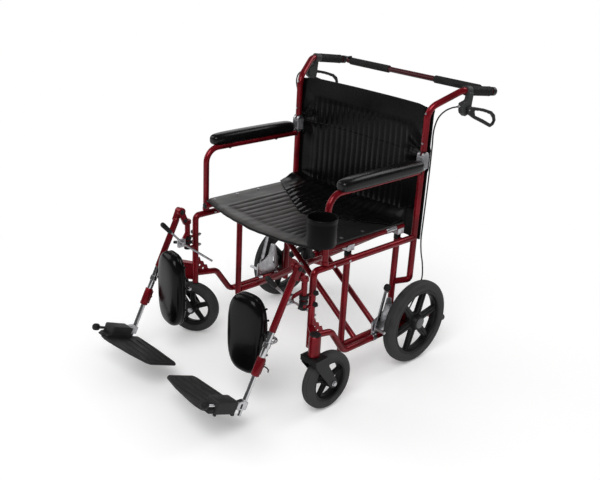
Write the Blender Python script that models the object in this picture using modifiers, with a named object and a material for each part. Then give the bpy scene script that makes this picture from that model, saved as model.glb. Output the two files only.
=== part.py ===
"""Folding bariatric transport chair, in metres, +Z up, sitter facing -Y.

Lengths along the chair are measured from the rear axle; the chair empty then
moves the whole chair so that its box is centred on the origin.
"""
import math

import bmesh
import bpy
from mathutils import Matrix, Vector

# Whole chair
REAR_AXLE_Y = 0.3080
GAP = 0.0003

# Frame tubes
TUBE = 0.0111
TUBE_SIDES = 2
FRAME_X = 0.301
POST_X = 0.272
FRONT_Y = -0.481
MID_Y = -0.301
BACK_POST_Y = -0.056
UPPER_Z = 0.4585
LOWER_Z = 0.126
FRONT_FOOT_Z = 0.1995
POST_FOOT_Z = 0.108
CANE_FOOT_Z = 0.300
WAVE_TOP_Z = 0.236
BRIDGE = 0.008
TIP_LEVER = (0.227, 0.078)

# Wheels
REAR_RADIUS = 0.1525
REAR_WIDTH = 0.045
REAR_X = 0.3435
RIM_DEPTH = 0.034
AXLE = 0.0060
HUB = 0.026
CASTER_RADIUS = 0.098
CASTER_WIDTH = 0.044
CASTER_X = 0.362
CASTER_Y = -0.520
TRAIL = 0.065
LEFT_CASTER_YAW = 1.0
RIGHT_CASTER_YAW = 57.0
CROWN_Z = 0.207
BARREL = 0.019
BARREL_TOP = 0.281
STEM = 0.0070
FORK_GAP = 0.0285
FORK_LEG = 0.007

# Folding brace and seat
RAIL_Z = 0.500
RAIL_FRONT = -0.462
RAIL_BACK = -0.035
BRACE_TUBE = 0.0100
BRACE_A_Y = (-0.228, -0.112)
BRACE_B_Y = (-0.1985, -0.1415)
BOLT = 0.0040
SEAT_HALF = POST_X + 0.012
SEAT_THICK = 0.010
SEAT_SAG = 0.012
SEAT_PUFF = 0.0022
SEAT_CELLS = 12
SEAT_FLAT = 0.915

# Back and handles
HINGE_Z = 0.748
CANE_TOP_Z = 0.7205
CLAMP = 0.0155
CANE_BEND_Z = 0.905
HANDLE_X = 0.351
HANDLE_Y = 0.105
HANDLE_Z = 0.963
LEVER_PIN = (0.118, HANDLE_Z - 0.061)
HANDLE_END = (0.288, 0.941)
GRIP = 0.0165
BACK_HALF = 0.315
BACK_GAP = 0.0003
BACK_THICK = 0.013
BACK_BELLY = 0.020
BACK_PUFF = 0.0030
BACK_INNER = 0.2835
LOWER_BACK = ((0.449, BACK_HALF), (0.535, BACK_HALF), (0.620, BACK_HALF), (0.696, BACK_HALF),
              (0.701, BACK_INNER), (0.744, BACK_INNER))
UPPER_BACK = ((0.752, BACK_INNER), (0.7665, BACK_INNER), (0.7710, BACK_HALF), (0.886, BACK_HALF),
              (0.891, BACK_INNER), (0.912, BACK_INNER))
BAR_Y = 0.278
BAR_PIN_X = 0.322
BAR_END_X = -0.324
BAR = 0.0100
FOAM = 0.0140
FOAM_INNER = 0.108

# Arm rests
ARM_Y = -0.435
ARM_Z = 0.687
PAD_X = 0.312
PAD_HALF = 0.026
PAD_TOP = 0.738

# Leg rests
SWING_Y = -0.517
HANGER = 0.0095
LEG_PIVOT = (-0.5505, 0.490)
LEG_ANGLE = math.radians(26.4)
LEG_X = 0.300
INNER_TUBE = 0.0100
CHROME_TUBE = 0.0080
FOOT_PIN = (-0.752, 0.0925)
FOOT_TILT = math.radians(22.0)
PAD_HINGE = (-0.615, 0.266)
CALF_CENTRE = (0.200, -0.657, 0.262)
RELEASE_X = 0.270
RELEASE_PIVOT = (-0.558, 0.380)

# Cup holder and wheel lock
CUP_CENTRE = (0.353, -0.505)
CUP_RADIUS = 0.040
CUP_BOTTOM = 0.552
CUP_TOP = 0.665
LOCK_PIVOT = (-0.160, 0.172)

SIDES = (("left", 1), ("right", -1))
chair_parts = None


def start_scene():
    """Empty the file and make the collection and the chair's own empty."""
    for old in list(bpy.data.objects):
        bpy.data.objects.remove(old, do_unlink=True)
    parts = bpy.data.collections.new("transport_chair")
    bpy.context.scene.collection.children.link(parts)
    return parts


def make_material(name, colour, roughness, metallic):
    material = bpy.data.materials.new(name)
    material.use_nodes = True
    shader = material.node_tree.nodes["Principled BSDF"]
    shader.inputs["Base Color"].default_value = (*colour, 1.0)
    shader.inputs["Roughness"].default_value = roughness
    shader.inputs["Metallic"].default_value = metallic
    material.diffuse_color = (*colour, 1.0)
    return material


FINISHES = {
    "red": ((0.22, 0.012, 0.025), 0.28, 0.55),
    "vinyl": ((0.012, 0.012, 0.013), 0.42, 0.0),
    "plastic": ((0.02, 0.02, 0.022), 0.5, 0.0),
    "tyre": ((0.035, 0.035, 0.037), 0.75, 0.0),
    "silver": ((0.62, 0.62, 0.64), 0.35, 1.0),
    "chrome": ((0.80, 0.80, 0.82), 0.10, 1.0),
    "foam": ((0.018, 0.018, 0.018), 0.8, 0.0),
}


def make_empty(name, place, parent):
    """An empty on a joint's axis, which carries the pieces of one moving body."""
    empty = bpy.data.objects.new(name, None)
    chair_parts.objects.link(empty)
    empty.parent = parent
    origin = parent.matrix_world.translation if parent else Vector((0, 0, 0))
    empty.location = Vector(place) + (Vector((0, REAR_AXLE_Y, 0)) - origin if parent else Vector())
    bpy.context.view_layer.update()
    return empty


def solid(mesh):
    """A temporary object round a mesh, with welded seams and outward faces."""
    work = bmesh.new()
    work.from_mesh(mesh)
    bmesh.ops.remove_doubles(work, verts=work.verts, dist=1e-6)
    bmesh.ops.dissolve_degenerate(work, edges=work.edges, dist=1e-7)
    bmesh.ops.recalc_face_normals(work, faces=work.faces)
    work.to_mesh(mesh)
    work.free()
    piece = bpy.data.objects.new("piece", mesh)
    chair_parts.objects.link(piece)
    return piece


def bake(source):
    """The evaluated mesh of an object, as a new temporary object."""
    bpy.context.view_layer.update()
    graph = bpy.context.evaluated_depsgraph_get()
    mesh = bpy.data.meshes.new_from_object(source.evaluated_get(graph))
    mesh.transform(source.matrix_world)
    bpy.data.objects.remove(source, do_unlink=True)
    return solid(mesh)


def combine(first, others, operation):
    """One body from several by exact Boolean modifiers, each applied in its turn."""
    for other in others:
        change = first.modifiers.new(operation.lower(), "BOOLEAN")
        change.operation = operation
        change.solver = "EXACT"
        change.object = other
        first = bake(first)
        bpy.data.objects.remove(other, do_unlink=True)
    return first


def fuse(first, *others):
    return combine(first, others, "UNION")


def cut(first, *others):
    return combine(first, others, "DIFFERENCE")


def rounded(points, radius, steps=3):
    """A path with its corners turned into arcs of one radius."""
    points = [Vector(point) for point in points]
    path = [points[0]]
    for before, corner, after in zip(points, points[1:], points[2:]):
        back = (before - corner).normalized()
        ahead = (after - corner).normalized()
        half = back.angle(ahead) / 2
        centre = corner + (back + ahead).normalized() * (radius / math.sin(half))
        reach = radius / math.tan(half)
        first = (corner + back * reach - centre).normalized()
        last = (corner + ahead * reach - centre).normalized()
        for step in range(steps + 1):
            path.append(centre + first.slerp(last, step / steps) * radius)
    path.append(points[-1])
    return path


def tube(path, radius, resolution=TUBE_SIDES):
    """A round tube along a path, as a curve with a bevel and filled caps."""
    curve = bpy.data.curves.new("tube", "CURVE")
    curve.dimensions = "3D"
    curve.bevel_depth = radius
    curve.bevel_resolution = resolution
    curve.use_fill_caps = True
    line = curve.splines.new("POLY")
    line.points.add(len(path) - 1)
    for point, place in zip(line.points, path):
        point.co = (*place, 1.0)
    piece = bpy.data.objects.new("tube", curve)
    chair_parts.objects.link(piece)
    return bake(piece)


def rod(start, end, radius, sides=12, end_radius=None):
    """A round bar, or a taper, between two points."""
    start = Vector(start)
    end = Vector(end)
    work = bmesh.new()
    turn = (end - start).to_track_quat("Z", "Y").to_matrix().to_4x4()
    place = Matrix.Translation((start + end) / 2) @ turn
    last = radius if end_radius is None else end_radius
    bmesh.ops.create_cone(work, cap_ends=True, segments=sides, radius1=radius, radius2=last,
                          depth=(end - start).length, matrix=place)
    mesh = bpy.data.meshes.new("rod")
    work.to_mesh(mesh)
    work.free()
    return solid(mesh)


def drill(start, end, radius, sides=12):
    """A cutter whose flats clear a round piece of the given radius all round."""
    return rod(start, end, (radius + GAP) / math.cos(math.pi / sides), sides)


def box(low, high, bevel=0.0, segments=2, turn=None):
    """A block between two corners, with rounded edges if a bevel is given."""
    low = Vector(low)
    high = Vector(high)
    work = bmesh.new()
    bmesh.ops.create_cube(work, size=1.0)
    size = [abs(b - a) for a, b in zip(low, high)]
    bmesh.ops.scale(work, vec=size, verts=work.verts)
    if bevel:
        bmesh.ops.bevel(work, geom=work.edges[:], offset=bevel, segments=segments,
                        affect="EDGES", profile=0.5)
    place = Matrix.Translation((low + high) / 2)
    if turn is not None:
        place = place @ turn
    bmesh.ops.transform(work, matrix=place, verts=work.verts)
    mesh = bpy.data.meshes.new("box")
    work.to_mesh(mesh)
    work.free()
    return solid(mesh)


SIDE_PLANE = Matrix(((0, 0, 1, 0), (1, 0, 0, 0), (0, 1, 0, 0), (0, 0, 0, 1)))


def plate(outline, low, high, holes=(), frame=SIDE_PLANE):
    """A flat outline given a thickness from low to high along its frame's third axis."""
    curve = bpy.data.curves.new("plate", "CURVE")
    curve.dimensions = "2D"
    curve.fill_mode = "BOTH"
    curve.extrude = abs(high - low) / 2
    for loop in (outline, *holes):
        line = curve.splines.new("POLY")
        line.points.add(len(loop) - 1)
        line.use_cyclic_u = True
        for point, place in zip(line.points, loop):
            point.co = (place[0], place[1], 0.0, 1.0)
    piece = bpy.data.objects.new("plate", curve)
    chair_parts.objects.link(piece)
    piece.matrix_world = frame @ Matrix.Translation((0, 0, (low + high) / 2))
    return bake(piece)


def circle(centre, radius, sides=16):
    return [(centre[0] + radius * math.cos(2 * math.pi * step / sides),
             centre[1] + radius * math.sin(2 * math.pi * step / sides)) for step in range(sides)]


def soften(points, radius, steps=3):
    """A closed outline with arcs at its corners."""
    loop = []
    count = len(points)
    for index in range(count):
        corner = [points[index - 1], points[index], points[(index + 1) % count]]
        arc = rounded([(x, y, 0.0) for x, y in corner], radius, steps)[1:-1]
        loop.extend((point.x, point.y) for point in arc)
    return loop


def turned(profile, steps, place, closed=True):
    """A profile of (radius, height) swept round its axis by a Screw modifier."""
    mesh = bpy.data.meshes.new("turned")
    count = len(profile)
    edges = [(index, index + 1) for index in range(count - 1)]
    if closed:
        edges.append((count - 1, 0))
    mesh.from_pydata([(radius, 0.0, height) for radius, height in profile], edges, [])
    piece = bpy.data.objects.new("turned", mesh)
    chair_parts.objects.link(piece)
    sweep = piece.modifiers.new("sweep", "SCREW")
    sweep.steps = steps
    sweep.render_steps = steps
    sweep.use_merge_vertices = True
    sweep.merge_threshold = 1e-5
    piece.matrix_world = place
    return bake(piece)


def across(x, y, z):
    """The place of a turned piece whose axis runs along X."""
    return Matrix.Translation((x, y, z)) @ Matrix.Rotation(math.pi / 2, 4, "Y")


def keep(name, piece, body, finish, smooth=True):
    """Name a finished piece, paint it and hang it on its body's empty."""
    piece.name = name
    piece.data.name = name
    piece.data.transform(Matrix.Translation((0, REAR_AXLE_Y, 0)) if not piece.parent else Matrix())
    origin = body.matrix_world.translation
    piece.data.transform(Matrix.Translation(-origin))
    piece.parent = body
    piece.location = (0, 0, 0)
    piece.data.materials.clear()
    piece.data.materials.append(make_material(name, *FINISHES[finish]))
    if smooth:
        piece.data.shade_smooth()
        piece.data.set_sharp_from_angle(angle=math.radians(35))
    return piece


def caster_yaw(side):
    return math.radians(LEFT_CASTER_YAW if side > 0 else RIGHT_CASTER_YAW)


def side_frame(name, side, body):
    """Welded side frame: rails, posts, lower wave rail, barrel, axle and leg-rest lugs."""
    x = side * FRAME_X
    inner = side * POST_X
    hoop = tube(rounded([(x, FRONT_Y, FRONT_FOOT_Z), (x, FRONT_Y, UPPER_Z), (x, 0.0, UPPER_Z)],
                        0.034), TUBE)
    wave = tube(rounded([(x, FRONT_Y, WAVE_TOP_Z), (x, -0.385, 0.220), (x, -0.318, LOWER_Z),
                         (x, 0.125, LOWER_Z), (x, *TIP_LEVER)], 0.036), TUBE)
    cane = tube(rounded([(inner, BACK_POST_Y, CANE_FOOT_Z - 0.004), (x, 0.0, CANE_FOOT_Z),
                         (x, 0.0, CANE_TOP_Z)], 0.026), TUBE)
    pieces = [wave, cane]
    for y in (MID_Y, BACK_POST_Y):
        pieces.append(rod((inner, y, POST_FOOT_Z), (inner, y, RAIL_Z - 0.018), TUBE, 12))
        for z in (UPPER_Z, LOWER_Z):
            pieces.append(rod((inner, y, z), (x, y, z), BRIDGE, 8))
        pieces.append(seat_saddle(side, y))
    pieces.extend(caster_bracket(side))
    pieces.append(plate([(FRONT_Y, 0.300), (FRONT_Y, 0.230), (-0.412, 0.222), (-0.420, 0.244),
                         (-0.450, 0.262), (-0.462, 0.296)], x - 0.0015, x + 0.0015))
    pieces.extend(axle_block(side))
    pieces.extend(hanger_lugs(side))
    frame = fuse(hoop, *pieces)
    bore = drill((side * CASTER_X, CASTER_Y, CROWN_Z - 0.01), (side * CASTER_X, CASTER_Y, 0.262),
               STEM, 12)
    channel = drill((inner, RAIL_FRONT, RAIL_Z), (inner, RAIL_BACK + 0.01, RAIL_Z), TUBE, 12)
    collar = drill((side * LEG_X, SWING_Y, 0.370), (side * LEG_X, SWING_Y, 0.400),
                 HANGER, 12)
    keep(name, cut(frame, bore, channel, collar), body, "red")


def seat_saddle(side, y):
    """The cup on a post's top in which the seat rail lies."""
    x = side * POST_X
    return box((x - 0.0142, y - 0.015, RAIL_Z - 0.022), (x + 0.0142, y + 0.015, RAIL_Z - 0.001))


def caster_bracket(side):
    """The caster's barrel, the two plates that carry it and the web between them."""
    x = side * CASTER_X
    post = Vector((side * FRAME_X, FRONT_Y, 0))
    pivot = Vector((x, CASTER_Y, 0))
    along = (post - pivot).normalized()
    acrossways = Vector((-along.y, along.x, 0)) * 0.013
    pieces = [rod((x, CASTER_Y, CROWN_Z + GAP), (x, CASTER_Y, BARREL_TOP), BARREL, 12)]
    for z in (0.212, 0.272):
        corners = [pivot + acrossways, post + acrossways * 0.8, post - acrossways * 0.8,
                   pivot - acrossways]
        pieces.append(plate([(c.x, c.y) for c in corners], z, z + 0.004, frame=Matrix()))
    thin = acrossways * 0.25
    corners = [pivot + thin, post + thin, post - thin, pivot - thin]
    pieces.append(plate([(c.x, c.y) for c in corners], 0.213, 0.275, frame=Matrix()))
    return pieces


def axle_block(side):
    """The boss and plate that hold the rear axle, and the axle itself."""
    x = side * FRAME_X
    web = plate([(-0.060, 0.122), (0.030, 0.122), (0.017, 0.160), (0.006, 0.170),
                 (-0.010, 0.172), (-0.060, 0.225)], side * 0.2790, side * 0.2925)
    boss = rod((side * 0.2800, 0, REAR_RADIUS), (side * 0.3192, 0, REAR_RADIUS), 0.0165, 14)
    pin = rod((x, 0, REAR_RADIUS), (side * 0.3612, 0, REAR_RADIUS), AXLE, 12)
    return [web, boss, pin]


def hanger_lugs(side):
    """The collar and the foot plate on the front post that hold the leg rest's post."""
    x = side * LEG_X
    pieces = []
    for z, thick, radius in ((0.384, 0.012, 0.0145), (0.3445, 0.0064, 0.0125)):
        pieces.append(rod((x, SWING_Y, z - thick / 2), (x, SWING_Y, z + thick / 2), radius, 14))
        pieces.append(box((x - 0.006, SWING_Y + 0.0115, z - 0.003), (x + 0.006, FRONT_Y, z + 0.003)))
        pieces.append(rod((x, FRONT_Y, z), (x, FRONT_Y + 0.026, z), 0.0045, 6))
    return pieces


def caster_sign(side):
    return 1 if side > 0 else -1


def caster_matrix(side):
    turn = Matrix.Rotation(caster_sign(side) * caster_yaw(side), 4, "Z")
    return Matrix.Translation((side * CASTER_X, CASTER_Y, 0)) @ turn


def caster_fork(name, side, body):
    """Swivel fork: stem, crown, two raked legs and the wheel bolt."""
    crown = box((-0.0375, -0.024, CROWN_Z - 0.0115), (0.0375, 0.030, CROWN_Z), 0.002, 1)
    stem = rod((0, 0, CROWN_Z - 0.005), (0, 0, 0.259), STEM, 12)
    pieces = [stem]
    outline = soften([(-0.024, CROWN_Z - 0.001), (0.030, CROWN_Z - 0.001), (0.034, 0.176),
                      (TRAIL + 0.015, CASTER_RADIUS + 0.002), (TRAIL + 0.008, CASTER_RADIUS - 0.016),
                      (TRAIL - 0.010, CASTER_RADIUS - 0.014), (-0.018, 0.178)], 0.006, 2)
    for hand in (1, -1):
        inner = hand * FORK_GAP
        pieces.append(plate(outline, inner, inner + hand * FORK_LEG))
        pieces.append(rod((inner + hand * (FORK_LEG - 0.001), TRAIL, CASTER_RADIUS),
                          (inner + hand * (FORK_LEG + 0.005), TRAIL, CASTER_RADIUS), 0.0075, 6))
    pieces.append(rod((-FORK_GAP - 0.001, TRAIL, CASTER_RADIUS), (FORK_GAP + 0.001, TRAIL, CASTER_RADIUS),
                      0.0050, 12))
    fork = fuse(crown, *pieces)
    fork.data.transform(caster_matrix(side))
    keep(name, fork, body, "plastic")


def tyre_profile(radius, width, depth):
    """Section of a tyre as (radius, height along the axle), bead to bead over the tread."""
    half = width / 2
    bead = radius - depth
    return [(bead, -half * 0.62), (radius - depth * 0.40, -half), (radius - depth * 0.10, -half * 0.62),
            (radius, 0.0), (radius - depth * 0.10, half * 0.62), (radius - depth * 0.40, half),
            (bead, half * 0.62)]


def wheel_rim(radius, width, depth, steps, spokes, hub, hub_low, hub_high, bore):
    """Moulded wheel round the Z axis: rim ring, tapered spokes and hub."""
    half = width / 2
    edge = radius - depth - GAP
    ring = [(edge, -half * 0.60), (edge, half * 0.60), (edge - 0.012, half * 0.50),
            (edge - 0.012, -half * 0.50)]
    rim = turned(ring, steps, Matrix())
    pieces = []
    for index in range(spokes):
        turn = Matrix.Rotation(2 * math.pi * index / spokes, 4, "Z")
        spoke = rod((hub * 0.7, 0, 0), (edge - 0.008, 0, 0), 0.0175, 4, 0.0125)
        spoke.data.transform(turn)
        pieces.append(spoke)
    pieces.append(rod((0, 0, hub_low), (0, 0, hub_high), hub, 12))
    rim = fuse(rim, *pieces)
    return cut(rim, bore)


def caster_wheel(rim_name, tyre_name, side, body):
    """Caster wheel: five-spoke moulded rim and a plain grey tyre."""
    upright = Matrix.Translation((0, TRAIL, CASTER_RADIUS)) @ Matrix.Rotation(math.pi / 2, 4, "Y")
    place = caster_matrix(side) @ upright
    tyre = turned(tyre_profile(CASTER_RADIUS, CASTER_WIDTH, 0.030), 24, Matrix())
    tyre.data.transform(place)
    keep(tyre_name, tyre, body, "tyre")
    bore = drill((0, 0, -0.03), (0, 0, 0.03), 0.0050, 12)
    rim = wheel_rim(CASTER_RADIUS, CASTER_WIDTH, 0.030, 24, 5, 0.017, -0.0275, 0.0275, bore)
    rim.data.transform(place)
    keep(rim_name, rim, body, "plastic")


def rear_wheel(rim_name, tyre_name, side, body):
    """Rear wheel: six-spoke moulded rim closed by its hub cap, and a plain grey tyre."""
    place = across(side * REAR_X, 0, REAR_RADIUS) @ Matrix.Rotation(math.radians(12), 4, "Z")
    tyre = turned(tyre_profile(REAR_RADIUS, REAR_WIDTH, RIM_DEPTH), 30, Matrix())
    tyre.data.transform(place)
    keep(tyre_name, tyre, body, "tyre")
    low = side * 0.3195 - side * REAR_X
    high = side * 0.0245
    bore = drill((0, 0, low * 1.5), (0, 0, side * 0.0181), AXLE, 12)
    rim = wheel_rim(REAR_RADIUS, REAR_WIDTH, RIM_DEPTH, 30, 6, HUB, low, high, bore)
    rim.data.transform(place)
    keep(rim_name, rim, body, "plastic")


def cross_brace(name, foot_side, tubes_y, body):
    """Half of the scissor: foot tube, two diagonal tubes and the seat rail they carry."""
    foot = foot_side * POST_X
    top = -foot
    rail = rod((top, RAIL_FRONT, RAIL_Z), (top, RAIL_BACK, RAIL_Z), TUBE, 12)
    clear = TUBE + 4 * GAP / 3
    hinge = rod((foot, MID_Y + clear, LOWER_Z), (foot, BACK_POST_Y - clear, LOWER_Z), TUBE, 12)
    pieces = [hinge]
    for y in tubes_y:
        pieces.append(tube([Vector((foot, y, LOWER_Z)), Vector((top, y, RAIL_Z))], BRACE_TUBE))
    brace = fuse(rail, *pieces)
    middle = (LOWER_Z + RAIL_Z) / 2
    bore = drill((0, tubes_y[0] - 0.03, middle), (0, tubes_y[1] + 0.03, middle), BOLT, 12)
    keep(name, cut(brace, bore), body, "red")


def pivot_bolt(name, body):
    """The bolt through the middle of the scissor, with a head and a nut."""
    middle = (LOWER_Z + RAIL_Z) / 2
    face = BRACE_TUBE + GAP
    front = BRACE_A_Y[0] - face
    back = BRACE_A_Y[1] + face
    bolt = rod((0, front - 0.003, middle), (0, back + 0.003, middle), BOLT, 12)
    head = rod((0, front - 0.006, middle), (0, front, middle), 0.0075, 6)
    nut = rod((0, back, middle), (0, back + 0.006, middle), 0.0075, 6)
    keep(name, fuse(bolt, head, nut), body, "silver")


def sheet(name, body, cells, surface, thickness, outward):
    """A cloth or vinyl panel: a grid laid on a surface rule and given a wall."""
    work = bmesh.new()
    bmesh.ops.create_grid(work, x_segments=cells[0], y_segments=cells[1], size=1.0)
    for vertex in work.verts:
        vertex.co = surface(vertex.co.x, vertex.co.y)
    mesh = bpy.data.meshes.new("sheet")
    work.to_mesh(mesh)
    work.free()
    piece = bpy.data.objects.new("sheet", mesh)
    chair_parts.objects.link(piece)
    wall = piece.modifiers.new("wall", "SOLIDIFY")
    wall.thickness = thickness
    wall.offset = outward
    keep(name, bake(piece), body, "vinyl")


def seat_surface(u, v):
    """Underside of the seat sling: flat on the rails, sagging and channelled between them."""
    column = round((u + 1) / 2 * SEAT_CELLS)
    if 0 < column < SEAT_CELLS:
        u = SEAT_FLAT * (2 * (column - 1) / (SEAT_CELLS - 2) - 1)
    share = min(abs(u) / SEAT_FLAT, 1.0)
    sag = SEAT_SAG * (1 - share ** 2) * (1 - 0.35 * v * v)
    puff = SEAT_PUFF * math.cos(math.pi * 6 * v) * (1 - share ** 6)
    front = -0.443 - 0.036 * (1 - u * u)
    y = front + (RAIL_BACK - 0.004 - front) * (v + 1) / 2
    return Vector((u * SEAT_HALF, y, RAIL_Z + TUBE + GAP - sag - puff))


def back_surface(levels):
    """Front face of a back panel, channelled upright, bellied backwards in the middle.

    Each level is a height and the panel's half width there.
    """
    def surface(u, v):
        z, half = levels[round((v + 1) / 2 * (len(levels) - 1))]
        share = min(abs(u) / 0.955, 1.0)
        belly = BACK_BELLY * (1 - share ** 2)
        puff = BACK_PUFF * math.cos(math.pi * 10 * u) * (1 - share ** 8)
        return Vector((u * half, TUBE + BACK_GAP + belly + puff, z))
    return surface


def upper_cane(name, side, body):
    """Push cane above the hinge: tongue, cane, handle tube and the bar's bracket."""
    path = rounded([(side * FRAME_X, 0, HINGE_Z + 0.017), (side * FRAME_X, 0, CANE_BEND_Z),
                    (side * HANDLE_X, HANDLE_Y, HANDLE_Z), (side * HANDLE_X, *HANDLE_END)], 0.030)
    cane = tube(path, TUBE)
    x = side * FRAME_X
    outline = [(-0.008, HINGE_Z + 0.022), (-0.008, HINGE_Z)]
    outline += [(0.008 * math.cos(a), HINGE_Z + 0.008 * math.sin(a))
                for a in [math.pi + math.pi * step / 6 for step in range(1, 6)]]
    outline += [(0.008, HINGE_Z), (0.008, HINGE_Z + 0.022)]
    tongue = plate(outline, x - 0.0030, x + 0.0030)
    bar_z = handle_height(BAR_Y)
    ring = rod((side * HANDLE_X, BAR_Y - 0.009, bar_z), (side * HANDLE_X, BAR_Y + 0.009, bar_z), 0.0150, 12)
    if side > 0:
        lug = box((BAR_PIN_X - 0.008, BAR_Y - 0.0145, bar_z - 0.008),
                  (HANDLE_X, BAR_Y - 0.0095, bar_z + 0.008))
        rear_lug = box((BAR_PIN_X - 0.008, BAR_Y + 0.0095, bar_z - 0.008),
                       (HANDLE_X, BAR_Y + 0.0140, bar_z + 0.008))
        pin = rod((BAR_PIN_X, BAR_Y - 0.013, bar_z), (BAR_PIN_X, BAR_Y + 0.013, bar_z), 0.0030, 10)
        ring_wide = box((HANDLE_X - 0.010, BAR_Y - 0.0145, bar_z - 0.008),
                        (HANDLE_X + 0.008, BAR_Y + 0.0140, bar_z + 0.008))
        extras = [lug, rear_lug, pin, ring_wide]
    else:
        top = bar_z + BAR + GAP
        extras = [box((-HANDLE_X, BAR_Y - 0.009, top), (BAR_END_X + 0.014, BAR_Y + 0.009, top + 0.004))]
    cane = fuse(cane, tongue, ring, *extras)
    hole = drill((x - 0.01, 0, HINGE_Z), (x + 0.01, 0, HINGE_Z), 0.0030, 12)
    keep(name, cut(cane, hole), body, "red")


def handle_height(y):
    """Height of the handle tube's centre line, which falls a little to the rear."""
    slope = (HANDLE_END[1] - HANDLE_Z) / (HANDLE_END[0] - HANDLE_Y)
    return HANDLE_Z + (y - HANDLE_Y) * slope


def hinge_clamp(name, side, body):
    """Silver drop-back hinge: sleeve on the lower cane and two cheeks with a pin."""
    x = side * FRAME_X
    outline = [(-CLAMP, 0.702), (CLAMP, 0.702), (CLAMP, HINGE_Z)]
    outline += [(CLAMP * math.cos(math.pi * step / 8), HINGE_Z + CLAMP * math.sin(math.pi * step / 8))
                for step in range(1, 8)]
    outline += [(-CLAMP, HINGE_Z)]
    body_block = plate(outline, x - 0.0145, x + 0.0145)
    for step in range(4):
        z = 0.728 + 0.008 * step
        groove = box((x - 0.0160, -CLAMP - 0.001, z), (x - 0.0135, CLAMP + 0.001, z + 0.003))
        other = box((x + 0.0135, -CLAMP - 0.001, z), (x + 0.0160, CLAMP + 0.001, z + 0.003))
        body_block = cut(body_block, groove, other)
    socket = drill((x, 0, 0.690), (x, 0, CANE_TOP_Z + GAP), TUBE, 12)
    slot = box((x - 0.0035, -0.0110, HINGE_Z - 0.0125), (x + 0.0035, CLAMP + 0.01, HINGE_Z + 0.03))
    clamp = cut(body_block, socket, slot)
    pin = rod((x - 0.012, 0, HINGE_Z), (x + 0.012, 0, HINGE_Z), 0.0030, 12)
    keep(name, fuse(clamp, pin), body, "silver")


def hand_grip(name, side, body):
    """Rubber grip over the end of the handle tube."""

    def on_axis(y):
        return (side * HANDLE_X, y, handle_height(y))

    front = 0.148
    back = 0.260
    grip = rod(on_axis(front), on_axis(back), GRIP, 14)
    bore = drill(on_axis(front - 0.01), on_axis(back + 0.01), TUBE, 12)
    keep(name, cut(grip, bore), body, "plastic")


def by_handle(*points):
    """Side-view points from their y and their height above the handle's front end."""
    return [(y, HANDLE_Z + rise) for y, rise in points]


def lever_housing(name, side, body):
    """Brake lever bracket under the handle, with a band round the tube."""
    x = side * HANDLE_X
    band = rod((x, 0.1180, handle_height(0.1180)), (x, 0.1465, handle_height(0.1465)), 0.0160, 14)
    outer = side * 0.3705
    arm = plate(soften(by_handle((0.119, -0.005), (0.145, -0.008), (0.140, -0.061), (0.110, -0.077),
                                 (0.089, -0.060), (0.089, -0.038), (0.119, -0.025)), 0.003, 2), x, outer)
    cheek = plate(soften(by_handle((0.089, -0.038), (0.138, -0.038), (0.136, -0.075), (0.110, -0.083),
                                   (0.092, -0.071)), 0.004, 2), side * 0.3655, outer)
    housing = fuse(band, arm, cheek)
    bore = drill((x, 0.1100, handle_height(0.1100)), (x, 0.16, handle_height(0.16)), TUBE, 12)
    housing = cut(housing, bore)
    pin = rod((side * 0.3700, *LEVER_PIN), (side * 0.3800, *LEVER_PIN), 0.0028, 10)
    keep(name, fuse(housing, pin), body, "plastic")


def brake_lever(name, side, body):
    """Looped brake lever with its finger opening."""
    outline = soften(by_handle((0.106, -0.051), (0.128, -0.050), (0.180, -0.067), (0.262, -0.083),
                               (0.270, -0.097), (0.258, -0.111), (0.205, -0.127), (0.186, -0.141),
                               (0.172, -0.135), (0.112, -0.073)), 0.003, 2)
    hole = soften(by_handle((0.150, -0.078), (0.182, -0.079), (0.250, -0.093), (0.248, -0.100),
                            (0.205, -0.113), (0.184, -0.123)), 0.003, 2)
    pin_hole = circle(LEVER_PIN, (0.0028 + GAP) / math.cos(math.pi / 10), 10)
    lever = plate(outline, side * 0.3709, side * 0.3790, holes=(hole, pin_hole))
    keep(name, lever, body, "plastic")


def brake_cable(name, side, body):
    """Brake cable from the lever housing, behind the cane, to the axle plate."""
    route = [(0.3580, 0.0888, HANDLE_Z - 0.0490), (0.3575, 0.0750, HANDLE_Z - 0.0492),
             (0.3530, 0.0500, HANDLE_Z - 0.0515), (0.3455, 0.0280, HANDLE_Z - 0.0610),
             (0.3360, 0.0140, HANDLE_Z - 0.0800), (0.3270, 0.0120, 0.8560), (0.3200, 0.0160, 0.8250),
             (0.3185, 0.0200, 0.7800), (0.3185, 0.0210, 0.7000), (0.3185, 0.0200, 0.6000), (0.3185, 0.0180, 0.5000),
             (0.3185, 0.0180, 0.4500), (0.3185, 0.0270, 0.4000), (0.3180, 0.0420, 0.3550),
             (0.3165, 0.0520, 0.3000), (0.3120, 0.0440, 0.2450), (0.3060, 0.0240, 0.2000),
             (0.3030, 0.0100, 0.1715)]
    points = [Vector((side * x, y, z)) for x, y, z in route]
    keep(name, tube(smooth_route(points, 2), 0.0025, 0), body, "plastic")


def smooth_route(points, steps):
    """A Catmull-Rom curve through the route's own points."""
    ends = [points[0] * 2 - points[1]] + points + [points[-1] * 2 - points[-2]]
    path = []
    for a, b, c, d in zip(ends, ends[1:], ends[2:], ends[3:]):
        for step in range(steps):
            t = step / steps
            path.append(0.5 * ((2 * b) + (c - a) * t + (2 * a - 5 * b + 4 * c - d) * t ** 2
                               + (3 * b - a - 3 * c + d) * t ** 3))
    path.append(points[-1])
    return path


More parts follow.
